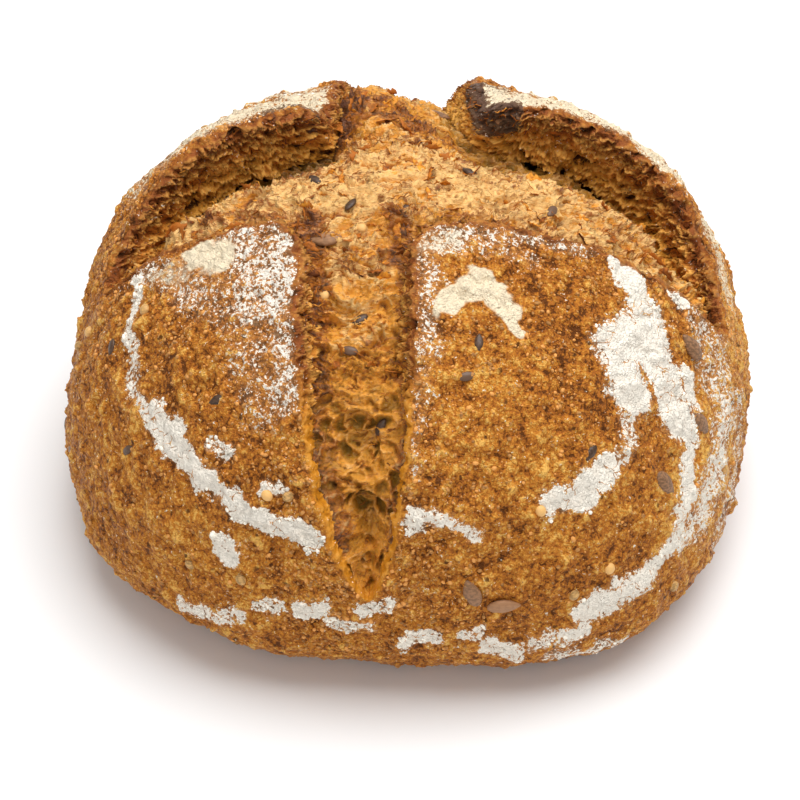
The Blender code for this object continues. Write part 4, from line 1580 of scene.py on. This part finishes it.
def surface_at(place):
    """Point and normal of the dressed surface at a place on the map."""
    normal = dome_normals(place)[0]
    if opening(place)[0] > 0:
        point = on_dome(place, dressed_sink(place))
        return point[0] + normal * crumb_relief(place, point)[0][0], normal
    point = on_dome(place)
    return point[0] + normal * skin_relief(point)[0][0], normal


class LOAF_OT_seeds(bpy.types.Operator):
    """Presses the linseeds, sunflower kernels and millet into crust and crumb"""

    bl_idname = "loaf.seeds"
    bl_label = "Seeds"

    def execute(self, context):
        settings = context.scene.loaf_seeds
        draw = np.random.default_rng(SEED_DRAW)
        frames = {kind["name"]: [] for kind in SEEDS}
        for kind, place in seed_places():
            if laid(place, CAKED)[0][0] > 0.5:
                continue  # under the caked flour
            point, normal = surface_at(place)
            point = point + normal * kind["size"][2] * SEED_PROUD
            turn = draw.uniform(0.0, 2.0 * math.pi)
            frames[kind["name"]].append(standing(point, normal, turn, draw.normal(0.0, 0.15), kind["size"]))
        coats = {
            "sunflower": seed_material("sunflower_kernel", settings.sunflower, 0.5, 1.4, -0.2),
            "linseed": seed_material("linseed_coat", settings.linseed, 0.32, 1.6, -0.4),
            "millet": seed_material("millet_grain", settings.millet, 0.45, 1.2, -0.1),
        }
        for name, places in frames.items():
            tone = draw.uniform(0.0, 1.0, len(places))
            scattered("seeds_" + name, [seed_template(name)], places, coats[name], "seed", tone=tone)
        return {"FINISHED"}


def grain_template():
    bm = bmesh.new()
    bmesh.ops.create_icosphere(bm, subdivisions=1, radius=0.5)
    return triangulated(bm)


class LOAF_OT_grit(bpy.types.Operator):
    """Scatters fine grains of meal and clumps of flour over the crust"""

    bl_idname = "loaf.grit"
    bl_label = "Grit and clumps"

    def execute(self, context):
        seeds, flour = context.scene.loaf_seeds, context.scene.loaf_flour
        draw = np.random.default_rng(GRIT_DRAW)

        def on_skin(mesh):
            return (painted(mesh, "torn") < 0.3) * (coordinates(mesh)[:, 2] > GRIT_LOWEST)

        def on_bare_skin(mesh):
            floured = np.maximum(painted(mesh, "flour"), painted(mesh, "cream"))
            return on_skin(mesh) * (floured < 0.35) + 0.0

        def at_flour(mesh):
            density, cake = painted(mesh, "flour"), painted(mesh, "cake")
            crumbly = smoothstep(0.25, 0.5, density) * smoothstep(0.9, 0.6, density)
            return crumbly * smoothstep(0.05, 0.4, cake) * on_skin(mesh)

        # Each kind of grain: its piece and slot, where it lies, how many, and the least size
        kinds = (
            ("crust_grit", "crust", on_bare_skin, seeds.grit, 0.00045),
            ("flour_clumps", "flour", at_flour, flour.clumps, 0.0004),
        )
        coats = (("meal_grit", seeds.meal, 0.6, 1.4, 0.12), ("flour_clump", flour.white, 0.95, 1.05, 0.5))
        for (name, slot, weight, number, least), coat in zip(kinds, coats):
            material = seed_material(*coat)
            frames = []
            for point, normal in zip(*spots_on(QUARTERS, draw, number, weight)):
                size = least + GRIT_RANGE * draw.uniform() ** 3
                shape = (size * draw.uniform(1.0, 1.6), size, size * draw.uniform(0.6, 0.9))
                frames.append(standing(point, normal, draw.uniform(0.0, 2 * math.pi), 0.0, shape))
            tone = draw.uniform(0.0, 1.0, len(frames))
            scattered(name, [grain_template()], frames, material, slot, tone=tone)
        return {"FINISHED"}


# ---- Stage ----

CAMERA_HEIGHT_ANGLE = 42.0
CAMERA_AIM = (-0.0021, -0.0035, 0.0285)
CAMERA_CENTRE = (-0.0004, -0.0035, 0.055)
LENS = 124.2
SENSOR = 36.0
FLOOR_REACH = 4.0
FLOOR_DROP = 0.0002
LIGHTS_AIM = (0.0, 0.0, 0.05)
# Each light: its place, its width and its tint
LIGHTS = {
    "key": ((0.15, 0.09, 1.0), 1.05, (1.0, 1.0, 1.0)),
    "fill": ((-0.25, -1.05, 0.65), 0.8, (1.0, 0.99, 0.97)),
}


def area_light(name, place, width, tint, power):
    """A soft round light that looks at the loaf."""
    light = bpy.data.lights.new(name, "AREA")
    light.shape = "DISK"
    light.size = width
    light.energy = power
    light.color = tint
    lamp = bpy.data.objects.new(name, light)
    lamp.location = place
    lamp.rotation_euler = (Vector(LIGHTS_AIM) - Vector(place)).to_track_quat("-Z", "Y").to_euler()
    bpy.context.scene.collection.objects.link(lamp)


class LOAF_OT_stage(bpy.types.Operator):
    """Sets the plain floor, the soft lights and the camera"""

    bl_idname = "loaf.stage"
    bl_label = "Stage"

    def execute(self, context):
        scene = context.scene
        settings = scene.loaf_stage
        bm = bmesh.new()
        bmesh.ops.create_grid(bm, x_segments=1, y_segments=1, size=FLOOR_REACH)
        mesh = bpy.data.meshes.new("floor")
        bm.to_mesh(mesh)
        bm.free()
        material, w, shader = new_material("floor")
        w.feed(shader["Base Color"], settings.floor)
        shader["Roughness"].default_value = 0.9
        shader["Specular IOR Level"].default_value = 0.0
        mesh.materials.append(material)
        floor = bpy.data.objects.new("floor", mesh)
        floor.location.z = -FLOOR_DROP
        scene.collection.objects.link(floor)
        world = bpy.data.worlds.new("studio")
        world.use_nodes = True
        background = world.node_tree.nodes["Background"].inputs
        background["Color"].default_value = (1.0, 1.0, 1.0, 1.0)
        background["Strength"].default_value = settings.sky
        scene.world = world
        for name, light in LIGHTS.items():
            area_light(name, *light, getattr(settings, name))
        lens = bpy.data.cameras.new("camera")
        lens.lens = LENS
        lens.sensor_width = SENSOR
        lens.clip_start = 0.01
        camera = bpy.data.objects.new("camera", lens)
        tilt = math.radians(CAMERA_HEIGHT_ANGLE)
        back = Vector((0.0, -math.cos(tilt), math.sin(tilt))) * settings.distance
        camera.location = Vector(CAMERA_CENTRE) + back
        camera.rotation_euler = (Vector(CAMERA_AIM) - camera.location).to_track_quat("-Z", "Y").to_euler()
        scene.collection.objects.link(camera)
        scene.camera = camera
        scene.view_settings.view_transform = "Standard"
        return {"FINISHED"}


class LOAF_PT_panel(bpy.types.Panel):
    """The loaf's pieces, in the order in which they are made"""

    bl_idname = "LOAF_PT_panel"
    bl_label = "Loaf"
    bl_space_type = "VIEW_3D"
    bl_region_type = "UI"
    bl_category = "Loaf"

    def draw(self, context):
        for group in SETTINGS:
            box = self.layout.box()
            settings = getattr(context.scene, group)
            for name in settings.__annotations__:
                box.prop(settings, name)
        for operator in OPERATORS:
            self.layout.operator(operator.bl_idname)


SETTINGS = {
    "loaf_crust": CrustSettings,
    "loaf_crumb": CrumbSettings,
    "loaf_shreds": ShredSettings,
    "loaf_seeds": SeedSettings,
    "loaf_flour": FlourSettings,
    "loaf_stage": StageSettings,
}
OPERATORS = (LOAF_OT_stage, LOAF_OT_crust, LOAF_OT_crumb, LOAF_OT_shreds, LOAF_OT_seeds, LOAF_OT_grit)


def register():
    for name, group in SETTINGS.items():
        bpy.utils.register_class(group)
        setattr(bpy.types.Scene, name, PointerProperty(type=group))
    for thing in (*OPERATORS, LOAF_PT_panel):
        bpy.utils.register_class(thing)


def unregister():
    for thing in reversed((*OPERATORS, LOAF_PT_panel)):
        bpy.utils.unregister_class(thing)
    for name, group in SETTINGS.items():
        delattr(bpy.types.Scene, name)
        bpy.utils.unregister_class(group)


def main():
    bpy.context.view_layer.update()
    register()
    bpy.ops.loaf.stage()
    bpy.ops.loaf.crust()
    bpy.ops.loaf.crumb()
    bpy.ops.loaf.shreds()
    bpy.ops.loaf.seeds()
    bpy.ops.loaf.grit()


if __name__ == "__main__":
    main()
